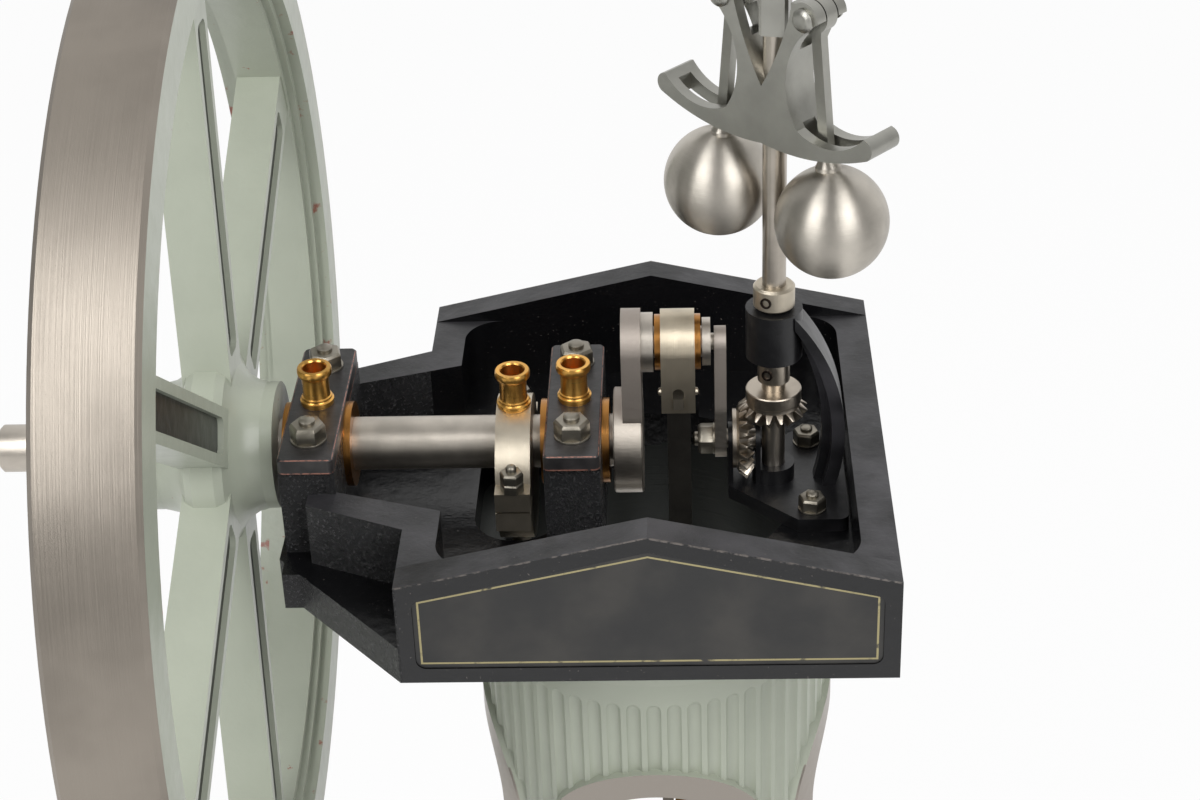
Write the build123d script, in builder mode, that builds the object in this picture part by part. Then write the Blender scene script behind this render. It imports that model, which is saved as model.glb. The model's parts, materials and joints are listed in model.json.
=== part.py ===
"""Model overcrank column steam engine: fluted column, entablature tray, crankshaft and governor.

Millimetres, +Z up. The origin is the middle of the base's underside, under the column's axis.
+X runs along the crankshaft towards the governor, and -Y is the nameplate side.
"""
from build123d import *
from math import atan2, cos, degrees, hypot, radians, sin
import os

os.makedirs("parts", exist_ok=True)

# Driving dimensions
shaft_height = 300.0
stroke = 46.4
throw = stroke / 2
shaft_radius = 5.55
running_clearance = 0.06
fit_gap = 0.05
side_gap = 0.3

# Base and column
base_side = 132.0
base_plate_height = 10.0
plinth_side = 106.0
plinth_height = 66.0
plinth_cap_side = 116.0
plinth_cap_height = 8.0
base_height = base_plate_height + plinth_height + plinth_cap_height
holding_bolt_radius = 3.2
holding_bolt_spacing = 116.0
column_bore_radius = 31.5
column_ring_radius = 44.0
column_ring_height = 17.6
column_body_radius = 37.2
column_rim_radius = 38.3
window_half_width = 18.0
window_rim_width = 6.0
flute_count = 56
flute_radius = 1.75

# Entablature tray, heights measured from the shaft's axis
tray_left = -48.4
tray_right = 47.9
tray_half_width = 55.1
tray_bottom = -20.4
floor_thickness = 8.2
tray_corner_top = 1.8
gable_rise = 10.95
wall_thickness = 7.0
floor_bore_radius = 30.3
eccentric_slot_length = 38.0
eccentric_slot_width = 17.8
neck_end = -75.4
neck_half_width = 24.5

# Bearings
inner_bearing_x = -15.4
outer_bearing_x = -68.6
bearing_width = 11.3
pedestal_half_width = 22.0
pedestal_top = 6.9
cap_thickness = 3.3
cap_length = 45.0
brass_radius = 6.85
brass_flange_radius = 8.85
brass_flange_width = 1.4

# Flywheel
flywheel_radius = 114.3
flywheel_width = 19.0
flywheel_x = -90.2
rim_depth = 15.3
spoke_count = 6
spoke_width = 12.0
spoke_depth = 10.0
spoke_start_angle = 36.5
hub_radius = 13.25
hub_left = -108.0
hub_right = -77.0
shaft_left = -136.0
stub_radius = 5.0
stub_end = -109.0

# Eccentric
eccentric_x = -27.7
eccentric_width = 7.1
eccentric_offset_y = -3.0
eccentric_offset_z = -4.0
sheave_radius = 11.6
strap_radius = 15.0
eccentric_rod_radius = 2.0
eccentric_rod_foot_z = 118.0

# Crank, connecting rod and crosshead
crank_left = -7.4
crank_boss_right = -1.5
crank_boss_radius = 11.0
crank_eye_radius = 7.0
crankpin_radius = 3.2
rod_x = 6.0
big_end_half_width = 3.45
big_end_radius = 6.8
rod_length = 123.2
rod_shank_width = 4.8
fork_slot_half = 2.8
tine_thickness = 2.4
tine_half_width = 4.0
crosshead_thickness = 4.6
crosshead_half_width = 20.0
crosshead_height = 16.0
guide_bar_width = 6.0
piston_rod_radius = 2.4

# Governor drive
governor_x = 25.5
spindle_radius = 2.38
drive_teeth = 20
governor_teeth = 16
drive_pitch_radius = 7.9
gear_face_share = 0.72
drag_left = 13.4
drag_thickness = 2.4
bevel_shaft_radius = 2.0

# Governor
governor_turn = -42.0
frame_thickness = 8.4
arm_thickness = 3.0
arm_pivot_radius = 10.2
arm_pivot_z = 96.3
ball_radius = 11.1
ball_orbit = 14.3
ball_z = 54.8
spindle_top = 118.0
frame_low = 68.6
frame_tip_radius = 25.6
frame_tip_low = 72.4
frame_tip_high = 76.4
frame_waist_radius = 6.3
frame_waist_z = 79.5
frame_crotch_z = 80.4

# Small sizes
base_corner = 6.0
plinth_corner = 3.0
plinth_cap_corner = 4.0
panel_margin = 12.0
panel_depth = 2.0
flute_margin = 2.5
cover_radius = 19.5
cover_height = 6.0
gland_radius = 9.0
gland_height = 9.0
tray_inner_corner = 8.0
pedestal_foot_half_width = 30.0
plate_margin = 3.3
plate_recess = 1.5
plate_corner = 2.0
oil_cup_radius = 3.6
oil_cup_waist = 2.9
oil_cup_bore = 2.1
oil_cup_height = 8.5
foot_thickness = 3.0
arm_web_width = 4.4
arm_flange_width = 2.6
rim_step = 4.0
rim_lip = 2.5
rim_bead = 1.6
hub_boss_radius = 16.0
spoke_panel_depth = 1.2
crank_arm_thickness = 4.0
pin_collar_radius = 6.1
end_collar_radius = 4.9
drive_pin_radius = 1.7
drag_eye_radius = 3.9
drag_tip_radius = 3.2
tooth_share = 0.4
tooth_addendum = 0.55
tooth_dedendum = 0.95
gear_back = 1.3
gear_hub_radius = 5.7
gear_hub_top = 12.2
gear_collar_top = 19.0
strap_opening = 5.0
rod_shank_depth = 6.0
brass_lip_radius = 5.7
cotter_width = 2.2
cotter_height = 2.5
cotter_slot_height = 4.6
cotter_overhang = 0.6
sweep_clearance = 0.7
strap_lug_reach = 18.0
strap_lug_height = 4.4
strap_split_gap = 0.4
spindle_collar_radius = 4.2
pivot_radius = 1.6
arm_eye_radius = 3.4
arm_bar_width = 3.4
toe_reach = 4.9
sleeve_bottom = 90.2
sleeve_side = 5.6
sleeve_height = 22.0
sleeve_turn = -12.0
finial_radius = 3.6

# Heights and places worked out from the dimensions above
column_bottom = base_height
rim_inner_radius = flywheel_radius - rim_depth
column_top = shaft_height + tray_bottom
column_middle = (column_bottom + column_top) / 2
floor_top = shaft_height + tray_bottom + floor_thickness
crankpin_z = shaft_height + throw
crosshead_z = crankpin_z - rod_length
eccentric_z = shaft_height + eccentric_offset_z
window_top = shaft_height - 64.0
window_height = 2 * (window_top - column_middle)

# Cast base: foot plate, panelled plinth and capping plate
with BuildPart() as base_plinth:
    with BuildSketch():
        RectangleRounded(base_side, base_side, base_corner)
    extrude(amount=base_plate_height)
    with BuildSketch(Plane.XY.offset(base_plate_height)):
        RectangleRounded(plinth_side, plinth_side, plinth_corner)
    extrude(amount=plinth_height)
    with BuildSketch(Plane.XY.offset(base_plate_height + plinth_height)):
        RectangleRounded(plinth_cap_side, plinth_cap_side, plinth_cap_corner)
    extrude(amount=plinth_cap_height)
    with Locations(Location((0, 0, base_plate_height))):
        with GridLocations(holding_bolt_spacing, holding_bolt_spacing, 2, 2):
            Hole(radius=holding_bolt_radius, depth=base_plate_height)
    panel_width = plinth_side - 2 * panel_margin
    panel_height = plinth_height - 2 * panel_margin
    with Locations(Location((0, 0, base_plate_height + plinth_height / 2))):
        with PolarLocations(plinth_side / 2, 4):
            Box(2 * panel_depth, panel_width, panel_height, mode=Mode.SUBTRACT)
base_plinth.part.label = "base_plinth"
export_step(base_plinth.part, "parts/base_plinth.step")

# Window rims: four arched bands turned to the column's outer radius
with BuildPart() as window_rims:
    for side in (Plane.YZ, Plane.XZ):
        with BuildSketch(side):
            with Locations((0, column_middle)):
                SlotOverall(
                    window_height + 2 * window_rim_width,
                    2 * (window_half_width + window_rim_width),
                    90,
                )
        extrude(amount=column_ring_radius, both=True)
    with Locations((0, 0, column_middle)):
        Cylinder(column_rim_radius, column_top - column_bottom, mode=Mode.INTERSECT)
        Cylinder(column_bore_radius, column_top - column_bottom, mode=Mode.SUBTRACT)

# Fluted column, bored through, with a turned flange at each end
with BuildPart() as column:
    with Locations((0, 0, column_middle)):
        Cylinder(column_body_radius, column_top - column_bottom)
    flute_length = column_top - column_bottom - 2 * (column_ring_height + flute_margin + flute_radius)
    with Locations((0, 0, column_middle)):
        with PolarLocations(column_body_radius + flute_radius / 2, flute_count):
            Cylinder(flute_radius, flute_length, mode=Mode.SUBTRACT)
            with Locations((0, 0, flute_length / 2), (0, 0, -flute_length / 2)):
                Sphere(flute_radius, mode=Mode.SUBTRACT)
    add(window_rims.part)
    cove_radius = column_ring_height - 6
    with BuildSketch(Plane.XZ):
        with BuildLine():
            Polyline(
                (column_bore_radius, column_top - column_ring_height),
                (column_bore_radius, column_top),
                (column_ring_radius, column_top),
                (column_ring_radius, column_top - 6),
            )
            RadiusArc(
                (column_ring_radius, column_top - 6),
                (column_body_radius, column_top - column_ring_height),
                -cove_radius,
            )
            Line(
                (column_body_radius, column_top - column_ring_height),
                (column_bore_radius, column_top - column_ring_height),
            )
        make_face()
    revolve(axis=Axis.Z)
    with BuildSketch(Plane.XZ):
        with BuildLine():
            Polyline(
                (column_bore_radius, column_bottom + column_ring_height),
                (column_bore_radius, column_bottom),
                (column_ring_radius, column_bottom),
                (column_ring_radius, column_bottom + 6),
            )
            RadiusArc(
                (column_ring_radius, column_bottom + 6),
                (column_body_radius, column_bottom + column_ring_height),
                cove_radius,
            )
            Line(
                (column_body_radius, column_bottom + column_ring_height),
                (column_bore_radius, column_bottom + column_ring_height),
            )
        make_face()
    revolve(axis=Axis.Z)
    for side in (Plane.YZ, Plane.XZ):
        with BuildSketch(side):
            with Locations((0, column_middle)):
                SlotOverall(window_height, 2 * window_half_width, 90)
        extrude(amount=column_ring_radius, both=True, mode=Mode.SUBTRACT)
    with Locations((0, 0, column_middle)):
        Cylinder(column_bore_radius, column_top - column_bottom, mode=Mode.SUBTRACT)
column.part.label = "column"
export_step(column.part, "parts/column.step")

# Cylinder cover in the foot of the column, bored for the piston rod
with BuildPart() as cylinder_cover:
    with Locations((rod_x, 0, base_height)):
        Cylinder(cover_radius, cover_height, align=(Align.CENTER, Align.CENTER, Align.MIN))
        Cylinder(
            piston_rod_radius,
            cover_height,
            align=(Align.CENTER, Align.CENTER, Align.MIN),
            mode=Mode.SUBTRACT,
        )
    chamfer(cylinder_cover.edges().group_by(Axis.Z)[-1].sort_by(SortBy.LENGTH)[-1], 0.8)
cylinder_cover.part.label = "cylinder_cover"
export_step(cylinder_cover.part, "parts/cylinder_cover.step")

# Stuffing-box gland on the cover
with BuildPart() as gland:
    with Locations((rod_x, 0, base_height + cover_height)):
        Cylinder(gland_radius, gland_height / 2, align=(Align.CENTER, Align.CENTER, Align.MIN))
        Cylinder(gland_radius * 0.7, gland_height, align=(Align.CENTER, Align.CENTER, Align.MIN))
        Cylinder(
            piston_rod_radius,
            gland_height,
            align=(Align.CENTER, Align.CENTER, Align.MIN),
            mode=Mode.SUBTRACT,
        )
gland.part.label = "gland"
export_step(gland.part, "parts/gland.step")

# Piston rod, from the cover to the crosshead
with BuildPart() as piston_rod:
    with Locations((rod_x, 0, base_height)):
        Cylinder(
            piston_rod_radius,
            crosshead_z - crosshead_height / 2 - base_height,
            align=(Align.CENTER, Align.CENTER, Align.MIN),
        )
piston_rod.part.label = "piston_rod"
export_step(piston_rod.part, "parts/piston_rod.step")

# Crosshead: a flat brass block that slides between two guide bars, bored for its pin
with BuildPart() as crosshead:
    with Locations((rod_x, 0, crosshead_z)):
        Box(crosshead_thickness, 2 * crosshead_half_width, crosshead_height)
        Cylinder(crankpin_radius, crosshead_thickness, rotation=(0, 90, 0), mode=Mode.SUBTRACT)
crosshead.part.label = "crosshead"
export_step(crosshead.part, "parts/crosshead.step")

# Guide bars standing on the base each side of the crosshead
guide_bar_y = crosshead_half_width + fit_gap + guide_bar_width / 2
guide_bar_height = crosshead_z + crosshead_height / 2 - 2 - base_height
with BuildPart() as guide_bar_front:
    with Locations((rod_x, -guide_bar_y, base_height)):
        Box(
            crosshead_thickness,
            guide_bar_width,
            guide_bar_height,
            align=(Align.CENTER, Align.CENTER, Align.MIN),
        )
guide_bar_front.part.label = "guide_bar_front"
export_step(guide_bar_front.part, "parts/guide_bar_front.step")

with BuildPart() as guide_bar_back:
    mirror(guide_bar_front.part, about=Plane.XZ)
guide_bar_back.part.label = "guide_bar_back"
export_step(guide_bar_back.part, "parts/guide_bar_back.step")

# Entablature: a cast tray with gabled ends, a necked extension and two bearing pedestals
tray_length = tray_right - tray_left
tray_middle = (tray_right + tray_left) / 2
gable_x = 0.0
wall_height = tray_corner_top - tray_bottom - floor_thickness
neck_root = 35.0
neck_tip = 26.0
neck_wall = 6.5
with BuildPart() as entablature:
    with BuildSketch(Plane.XY.offset(shaft_height + tray_bottom)):
        with BuildLine():
            Polyline(
                (tray_right, -tray_half_width),
                (tray_right, tray_half_width),
                (tray_left, tray_half_width),
                (neck_end, neck_half_width),
                (neck_end, -neck_half_width),
                (tray_left, -tray_half_width),
                close=True,
            )
        make_face()
    extrude(amount=floor_thickness)
    with BuildSketch(Plane.XY.offset(floor_top)):
        with Locations((tray_middle, 0)):
            Rectangle(tray_length, 2 * tray_half_width)
            RectangleRounded(
                tray_length - 2 * wall_thickness,
                2 * (tray_half_width - wall_thickness),
                tray_inner_corner,
                mode=Mode.SUBTRACT,
            )
        with Locations((tray_left, 0)):
            Rectangle(3 * wall_thickness, 2 * (neck_root - neck_wall), mode=Mode.SUBTRACT)
    extrude(amount=wall_height)
    for wall_start in (-tray_half_width + wall_thickness, tray_half_width):
        with BuildSketch(Plane.XZ.offset(-wall_start)):
            with BuildLine():
                Polyline(
                    (tray_left, shaft_height + tray_corner_top),
                    (tray_right, shaft_height + tray_corner_top),
                    (gable_x, shaft_height + tray_corner_top + gable_rise),
                    close=True,
                )
            make_face()
        extrude(amount=wall_thickness)
    for hand in (1, -1):
        with BuildSketch(Plane.XY.offset(floor_top)):
            with BuildLine():
                Polyline(
                    (tray_left + wall_thickness, hand * neck_root),
                    (tray_left, hand * neck_root),
                    (outer_bearing_x, hand * neck_tip),
                    (outer_bearing_x, hand * (neck_tip - neck_wall)),
                    (tray_left + wall_thickness, hand * (neck_root - neck_wall)),
                    close=True,
                )
            make_face()
        extrude(amount=wall_height)
    with BuildSketch(Plane.XY.offset(shaft_height + tray_bottom)):
        Circle(floor_bore_radius)
        with Locations((inner_bearing_x - bearing_width / 2, 0)):
            Rectangle(
                2 * floor_bore_radius,
                2 * floor_bore_radius,
                align=(Align.MIN, Align.CENTER),
                mode=Mode.INTERSECT,
            )
    extrude(amount=floor_thickness, mode=Mode.SUBTRACT)
    with Locations((rod_x, 0, shaft_height + tray_bottom)):
        Box(
            2 * (big_end_half_width + sweep_clearance),
            2 * (throw + big_end_radius + cotter_overhang + sweep_clearance),
            floor_thickness,
            align=(Align.CENTER, Align.CENTER, Align.MIN),
            mode=Mode.SUBTRACT,
        )
    with BuildSketch(Plane.XY.offset(shaft_height + tray_bottom)):
        with Locations((eccentric_x, 0)):
            SlotOverall(eccentric_slot_length, eccentric_slot_width, 90)
    extrude(amount=floor_thickness, mode=Mode.SUBTRACT)
    for bearing_x in (inner_bearing_x, outer_bearing_x):
        with Locations((bearing_x, 0, shaft_height + tray_bottom)):
            Box(
                bearing_width,
                2 * pedestal_half_width,
                pedestal_top - tray_bottom,
                align=(Align.CENTER, Align.CENTER, Align.MIN),
            )
            Box(
                bearing_width,
                2 * pedestal_foot_half_width,
                floor_thickness,
                align=(Align.CENTER, Align.CENTER, Align.MIN),
            )
        with BuildSketch(Plane.YZ.offset(bearing_x)):
            with Locations((0, shaft_height)):
                Circle(brass_radius)
                Rectangle(2 * brass_radius, pedestal_top, align=(Align.CENTER, Align.MIN))
        extrude(amount=bearing_width, both=True, mode=Mode.SUBTRACT)
    with BuildSketch(Plane.XZ.offset(tray_half_width - plate_recess)):
        with BuildLine():
            Polyline(
                (tray_left + plate_margin, shaft_height + tray_bottom + plate_margin),
                (tray_right - plate_margin, shaft_height + tray_bottom + plate_margin),
                (tray_right - plate_margin, shaft_height + tray_corner_top - plate_margin),
                (gable_x, shaft_height + tray_corner_top + gable_rise - plate_margin),
                (tray_left + plate_margin, shaft_height + tray_corner_top - plate_margin),
                close=True,
            )
        make_face()
        fillet(vertices(), plate_corner)
    extrude(amount=plate_recess, mode=Mode.SUBTRACT)
entablature.part.label = "entablature"
export_step(entablature.part, "parts/entablature.step")

# Bare plate let into the front of the tray
with BuildPart() as nameplate:
    with BuildSketch(Plane.XZ.offset(tray_half_width - plate_recess)):
        with BuildLine():
            Polyline(
                (tray_left + plate_margin, shaft_height + tray_bottom + plate_margin),
                (tray_right - plate_margin, shaft_height + tray_bottom + plate_margin),
                (tray_right - plate_margin, shaft_height + tray_corner_top - plate_margin),
                (gable_x, shaft_height + tray_corner_top + gable_rise - plate_margin),
                (tray_left + plate_margin, shaft_height + tray_corner_top - plate_margin),
                close=True,
            )
        make_face()
        fillet(vertices(), plate_corner)
        offset(amount=-fit_gap)
    extrude(amount=plate_recess - 0.3)
nameplate.part.label = "nameplate"
export_step(nameplate.part, "parts/nameplate.step")

# Split bearing brasses, flanged each side of the pedestal
for_bearing_length = bearing_width + 2 * brass_flange_width
with BuildPart() as bearing_brass_inner:
    with BuildSketch(Plane.YZ.offset(inner_bearing_x - bearing_width / 2)):
        with Locations((0, shaft_height)):
            Circle(brass_radius - fit_gap)
            Rectangle(2 * (brass_radius - fit_gap), pedestal_top, align=(Align.CENTER, Align.MIN))
    extrude(amount=bearing_width)
    for flange_x in (-bearing_width / 2 - brass_flange_width, bearing_width / 2):
        with BuildSketch(Plane.YZ.offset(inner_bearing_x + flange_x)):
            with Locations((0, shaft_height)):
                Circle(brass_flange_radius)
        extrude(amount=brass_flange_width)
    with Locations((inner_bearing_x, 0, shaft_height)):
        Cylinder(
            shaft_radius + running_clearance,
            for_bearing_length,
            rotation=(0, 90, 0),
            mode=Mode.SUBTRACT,
        )
bearing_brass_inner.part.label = "bearing_brass_inner"
export_step(bearing_brass_inner.part, "parts/bearing_brass_inner.step")

with BuildPart() as bearing_brass_outer:
    add(bearing_brass_inner.part.moved(Location((outer_bearing_x - inner_bearing_x, 0, 0))))
bearing_brass_outer.part.label = "bearing_brass_outer"
export_step(bearing_brass_outer.part, "parts/bearing_brass_outer.step")

# Flat keep plates over the brasses
with BuildPart() as bearing_cap_inner:
    with Locations((inner_bearing_x, 0, shaft_height + pedestal_top)):
        Box(bearing_width, cap_length, cap_thickness, align=(Align.CENTER, Align.CENTER, Align.MIN))
    fillet(bearing_cap_inner.edges().filter_by(Axis.Z), 1.2)
    chamfer(bearing_cap_inner.edges().group_by(Axis.Z)[-1], 0.4)
bearing_cap_inner.part.label = "bearing_cap_inner"
export_step(bearing_cap_inner.part, "parts/bearing_cap_inner.step")

with BuildPart() as bearing_cap_outer:
    add(bearing_cap_inner.part.moved(Location((outer_bearing_x - inner_bearing_x, 0, 0))))
bearing_cap_outer.part.label = "bearing_cap_outer"
export_step(bearing_cap_outer.part, "parts/bearing_cap_outer.step")

# Turned brass oil cups: base ring, waist and open rim
cup_seat = shaft_height + pedestal_top + cap_thickness
with BuildPart() as oil_cup_inner:
    with BuildSketch(Plane(origin=(inner_bearing_x, 0, cup_seat), x_dir=(1, 0, 0), z_dir=(0, -1, 0))):
        with BuildLine():
            Polyline(
                (0, 0),
                (oil_cup_radius, 0),
                (oil_cup_radius, 1.6),
                (oil_cup_waist, 2.2),
                (oil_cup_waist, 6.0),
                (oil_cup_radius, 6.8),
                (oil_cup_radius, oil_cup_height),
                (oil_cup_bore, oil_cup_height),
                (oil_cup_bore, 2.5),
                (0, 2.5),
                close=True,
            )
        make_face()
    revolve(axis=Axis((inner_bearing_x, 0, cup_seat), (0, 0, 1)))
oil_cup_inner.part.label = "oil_cup_inner"
export_step(oil_cup_inner.part, "parts/oil_cup_inner.step")

with BuildPart() as oil_cup_outer:
    add(oil_cup_inner.part.moved(Location((outer_bearing_x - inner_bearing_x, 0, 0))))
oil_cup_outer.part.label = "oil_cup_outer"
export_step(oil_cup_outer.part, "parts/oil_cup_outer.step")

# Governor bracket: foot plate, two gear-shaft plates, footstep boss and a curved arm to the upper boss
foot_top = floor_top + foot_thickness
boss_low = shaft_height + 20
boss_high = shaft_height + 31
bracket_plate_thickness = 1.0
bracket_boss_radius = 5.75
bracket_toe_radius = 4.4
bracket_toe_height = 3.5
bracket_arm_x = 38.2
bracket_arm_bulge = 0.5
bracket_bulge_z = 13.0
bracket_plate_left = 16.1
bracket_plate_right = governor_x - spindle_radius - 0.35 - bracket_plate_thickness
with BuildPart() as governor_bracket:
    with BuildSketch(Plane.XY.offset(floor_top)):
        with BuildLine():
            Polyline(
                (bracket_plate_left, -4),
                (30, -17),
                (40.4, -17),
                (40.4, 17),
                (30, 17),
                (bracket_plate_left, 4),
                close=True,
            )
        make_face()
        fillet(vertices().sort_by(Axis.X)[-2:], 2)
    extrude(amount=foot_thickness)
    for plate_x in (bracket_plate_left, bracket_plate_right):
        with BuildSketch(Plane.YZ.offset(plate_x)):
            with Locations((0, shaft_height)):
                Circle(3.5)
            with Locations((0, foot_top)):
                Rectangle(7, shaft_height - foot_top, align=(Align.CENTER, Align.MIN))
        extrude(amount=bracket_plate_thickness)
        with Locations((plate_x, 0, shaft_height)):
            Cylinder(
                bevel_shaft_radius + running_clearance,
                4 * bracket_plate_thickness,
                rotation=(0, 90, 0),
                mode=Mode.SUBTRACT,
            )
    with Locations((governor_x, 0, foot_top)):
        Cylinder(bracket_toe_radius, bracket_toe_height, align=(Align.CENTER, Align.CENTER, Align.MIN))
    with Locations((governor_x, 0, boss_low)):
        Cylinder(bracket_boss_radius, boss_high - boss_low, align=(Align.CENTER, Align.CENTER, Align.MIN))
    for band_width, band_depth in ((arm_web_width, 3.0), (arm_flange_width, 9.0)):
        with BuildSketch(Plane.XZ):
            with BuildLine():
                outer_edge = ThreePointArc(
                    (bracket_arm_x, foot_top),
                    (bracket_arm_x + bracket_arm_bulge, shaft_height + bracket_bulge_z),
                    (governor_x + 4, boss_high - 0.6),
                )
                Line(outer_edge @ 1, (governor_x + 4, boss_high - 0.6 - band_width))
                inner_edge = ThreePointArc(
                    (governor_x + 4, boss_high - 0.6 - band_width),
                    (
                        bracket_arm_x + bracket_arm_bulge - 0.9 * band_width,
                        shaft_height + bracket_bulge_z - 0.4 * band_width,
                    ),
                    (bracket_arm_x - band_width, foot_top),
                )
                Line(inner_edge @ 1, outer_edge @ 0)
            make_face()
        extrude(amount=band_depth / 2, both=True)
    with Locations((governor_x, 0, floor_top + 1)):
        Cylinder(
            spindle_radius + running_clearance,
            boss_high - floor_top,
            align=(Align.CENTER, Align.CENTER, Align.MIN),
            mode=Mode.SUBTRACT,
        )
governor_bracket.part.label = "governor_bracket"
export_step(governor_bracket.part, "parts/governor_bracket.step")

# Crankshaft
with BuildPart() as crankshaft:
    with BuildSketch(Plane.YZ.offset(shaft_left)):
        with Locations((0, shaft_height)):
            Circle(stub_radius)
    extrude(amount=stub_end - shaft_left)
    chamfer(crankshaft.edges().group_by(Axis.X)[0], 0.6)
    with BuildSketch(Plane.YZ.offset(stub_end)):
        with Locations((0, shaft_height)):
            Circle(shaft_radius)
    extrude(amount=crank_boss_right - stub_end)
crankshaft.part.label = "crankshaft"
export_step(crankshaft.part, "parts/crankshaft.step")

# Flywheel: one casting with a stepped rim, six panelled spokes and a long hub
shaft_axis = Axis((0, 0, shaft_height), (1, 0, 0))
rim_left = flywheel_x - flywheel_width / 2
rim_right = flywheel_x + flywheel_width / 2
with BuildPart() as flywheel:
    with BuildSketch(Plane.XY.offset(shaft_height)):
        with BuildLine():
            Polyline(
                (rim_left, flywheel_radius - 1),
                (rim_left + 1, flywheel_radius),
                (rim_right - 1, flywheel_radius),
                (rim_right, flywheel_radius - 1),
                (rim_right, rim_inner_radius + rim_step),
                (rim_right - rim_lip, rim_inner_radius + rim_step),
                (rim_right - rim_lip, rim_inner_radius + rim_step / 2),
                (rim_right - rim_lip - rim_bead, rim_inner_radius + rim_step / 2),
                (rim_right - rim_lip - rim_bead, rim_inner_radius),
                (rim_left + rim_lip + rim_bead, rim_inner_radius),
                (rim_left + rim_lip + rim_bead, rim_inner_radius + rim_step / 2),
                (rim_left + rim_lip, rim_inner_radius + rim_step / 2),
                (rim_left + rim_lip, rim_inner_radius + rim_step),
                (rim_left, rim_inner_radius + rim_step),
                close=True,
            )
        make_face()
    revolve(axis=shaft_axis)
    spoke_length = rim_inner_radius + 1 - hub_radius / 2
    spoke_middle = hub_radius / 2 + spoke_length / 2
    spoke_plane = Plane(origin=(flywheel_x, 0, shaft_height), x_dir=(0, 1, 0), z_dir=(1, 0, 0))
    with BuildSketch(spoke_plane):
        Circle(hub_boss_radius)
        with PolarLocations(spoke_middle, spoke_count, start_angle=180 - spoke_start_angle):
            Rectangle(spoke_length, spoke_width)
    extrude(amount=spoke_depth / 2, both=True)
    panel_length = rim_inner_radius - hub_radius - 16
    panel_centre = (rim_inner_radius + hub_radius) / 2
    for panel_start in (spoke_depth / 2 - spoke_panel_depth, -spoke_depth / 2):
        with BuildSketch(spoke_plane.offset(panel_start)):
            with PolarLocations(panel_centre, spoke_count, start_angle=180 - spoke_start_angle):
                RectangleRounded(panel_length, spoke_width - 4.5, 2)
        extrude(amount=spoke_panel_depth, mode=Mode.SUBTRACT)
    with BuildSketch(Plane.YZ.offset(hub_left)):
        with Locations((0, shaft_height)):
            Circle(hub_radius)
    extrude(amount=hub_right - hub_left)
    with BuildSketch(Plane.YZ.offset(hub_left)):
        with Locations((0, shaft_height)):
            Circle(shaft_radius)
    extrude(amount=hub_right - hub_left, mode=Mode.SUBTRACT)
flywheel.part.label = "flywheel"
export_step(flywheel.part, "parts/flywheel.step")

# Eccentric sheave, keyed to the shaft with its centre off the shaft's axis
with BuildPart() as eccentric_sheave:
    with BuildSketch(Plane.YZ.offset(eccentric_x - eccentric_width / 2)):
        with Locations((eccentric_offset_y, eccentric_z)):
            Circle(sheave_radius)
        with Locations((0, shaft_height)):
            Circle(shaft_radius, mode=Mode.SUBTRACT)
    extrude(amount=eccentric_width)
eccentric_sheave.part.label = "eccentric_sheave"
export_step(eccentric_sheave.part, "parts/eccentric_sheave.step")

# Crank web: a round boss on the shaft and a flat arm up to the pin
with BuildPart() as crank_web:
    with BuildSketch(Plane.YZ.offset(crank_left)):
        with Locations((0, shaft_height)):
            Circle(crank_boss_radius)
    extrude(amount=crank_boss_right - crank_left)
    with BuildSketch(Plane.YZ.offset(crank_boss_right - crank_arm_thickness)):
        with Locations((0, shaft_height)):
            Circle(crank_boss_radius)
        with Locations((0, crankpin_z)):
            Circle(crank_eye_radius)
        make_hull()
    extrude(amount=crank_arm_thickness)
    with BuildSketch(Plane.YZ.offset(crank_left)):
        with Locations((0, shaft_height)):
            Circle(shaft_radius)
        with Locations((0, crankpin_z)):
            Circle(crankpin_radius)
    extrude(amount=crank_boss_right - crank_left, mode=Mode.SUBTRACT)
crank_web.part.label = "crank_web"
export_step(crank_web.part, "parts/crank_web.step")

# Crankpin: collar, journal, end collar and a small driving pin, turned in one
big_end_left = rod_x - big_end_half_width
big_end_right = rod_x + big_end_half_width
brass_lip = 1.2
collar_right = big_end_left - brass_lip - side_gap
end_collar_left = big_end_right + brass_lip + side_gap
end_collar_right = end_collar_left + 1.7
with BuildPart() as crank_pin:
    with BuildSketch(Plane.XY.offset(crankpin_z)):
        with BuildLine():
            Polyline(
                (crank_boss_right - crank_arm_thickness, 0),
                (crank_boss_right - crank_arm_thickness, crankpin_radius),
                (crank_boss_right, crankpin_radius),
                (crank_boss_right, pin_collar_radius),
                (collar_right, pin_collar_radius),
                (collar_right, crankpin_radius),
                (end_collar_left, crankpin_radius),
                (end_collar_left, end_collar_radius),
                (end_collar_right, end_collar_radius),
                (end_collar_right, drive_pin_radius),
                (drag_left + drag_thickness, drive_pin_radius),
                (drag_left + drag_thickness, 0),
                close=True,
            )
        make_face()
    revolve(axis=Axis((0, 0, crankpin_z), (1, 0, 0)))
crank_pin.part.label = "crank_pin"
export_step(crank_pin.part, "parts/crank_pin.step")

# Drag crank: a flat link from the driving pin down to the bevel shaft
with BuildPart() as drag_crank:
    with BuildSketch(Plane.YZ.offset(drag_left)):
        with Locations((0, shaft_height)):
            Circle(drag_eye_radius)
        with Locations((0, crankpin_z)):
            Circle(drag_tip_radius)
        make_hull()
        with Locations((0, shaft_height)):
            Circle(bevel_shaft_radius, mode=Mode.SUBTRACT)
        with Locations((0, crankpin_z)):
            Circle(drive_pin_radius, mode=Mode.SUBTRACT)
    extrude(amount=drag_thickness)
drag_crank.part.label = "drag_crank"
export_step(drag_crank.part, "parts/drag_crank.step")

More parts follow.
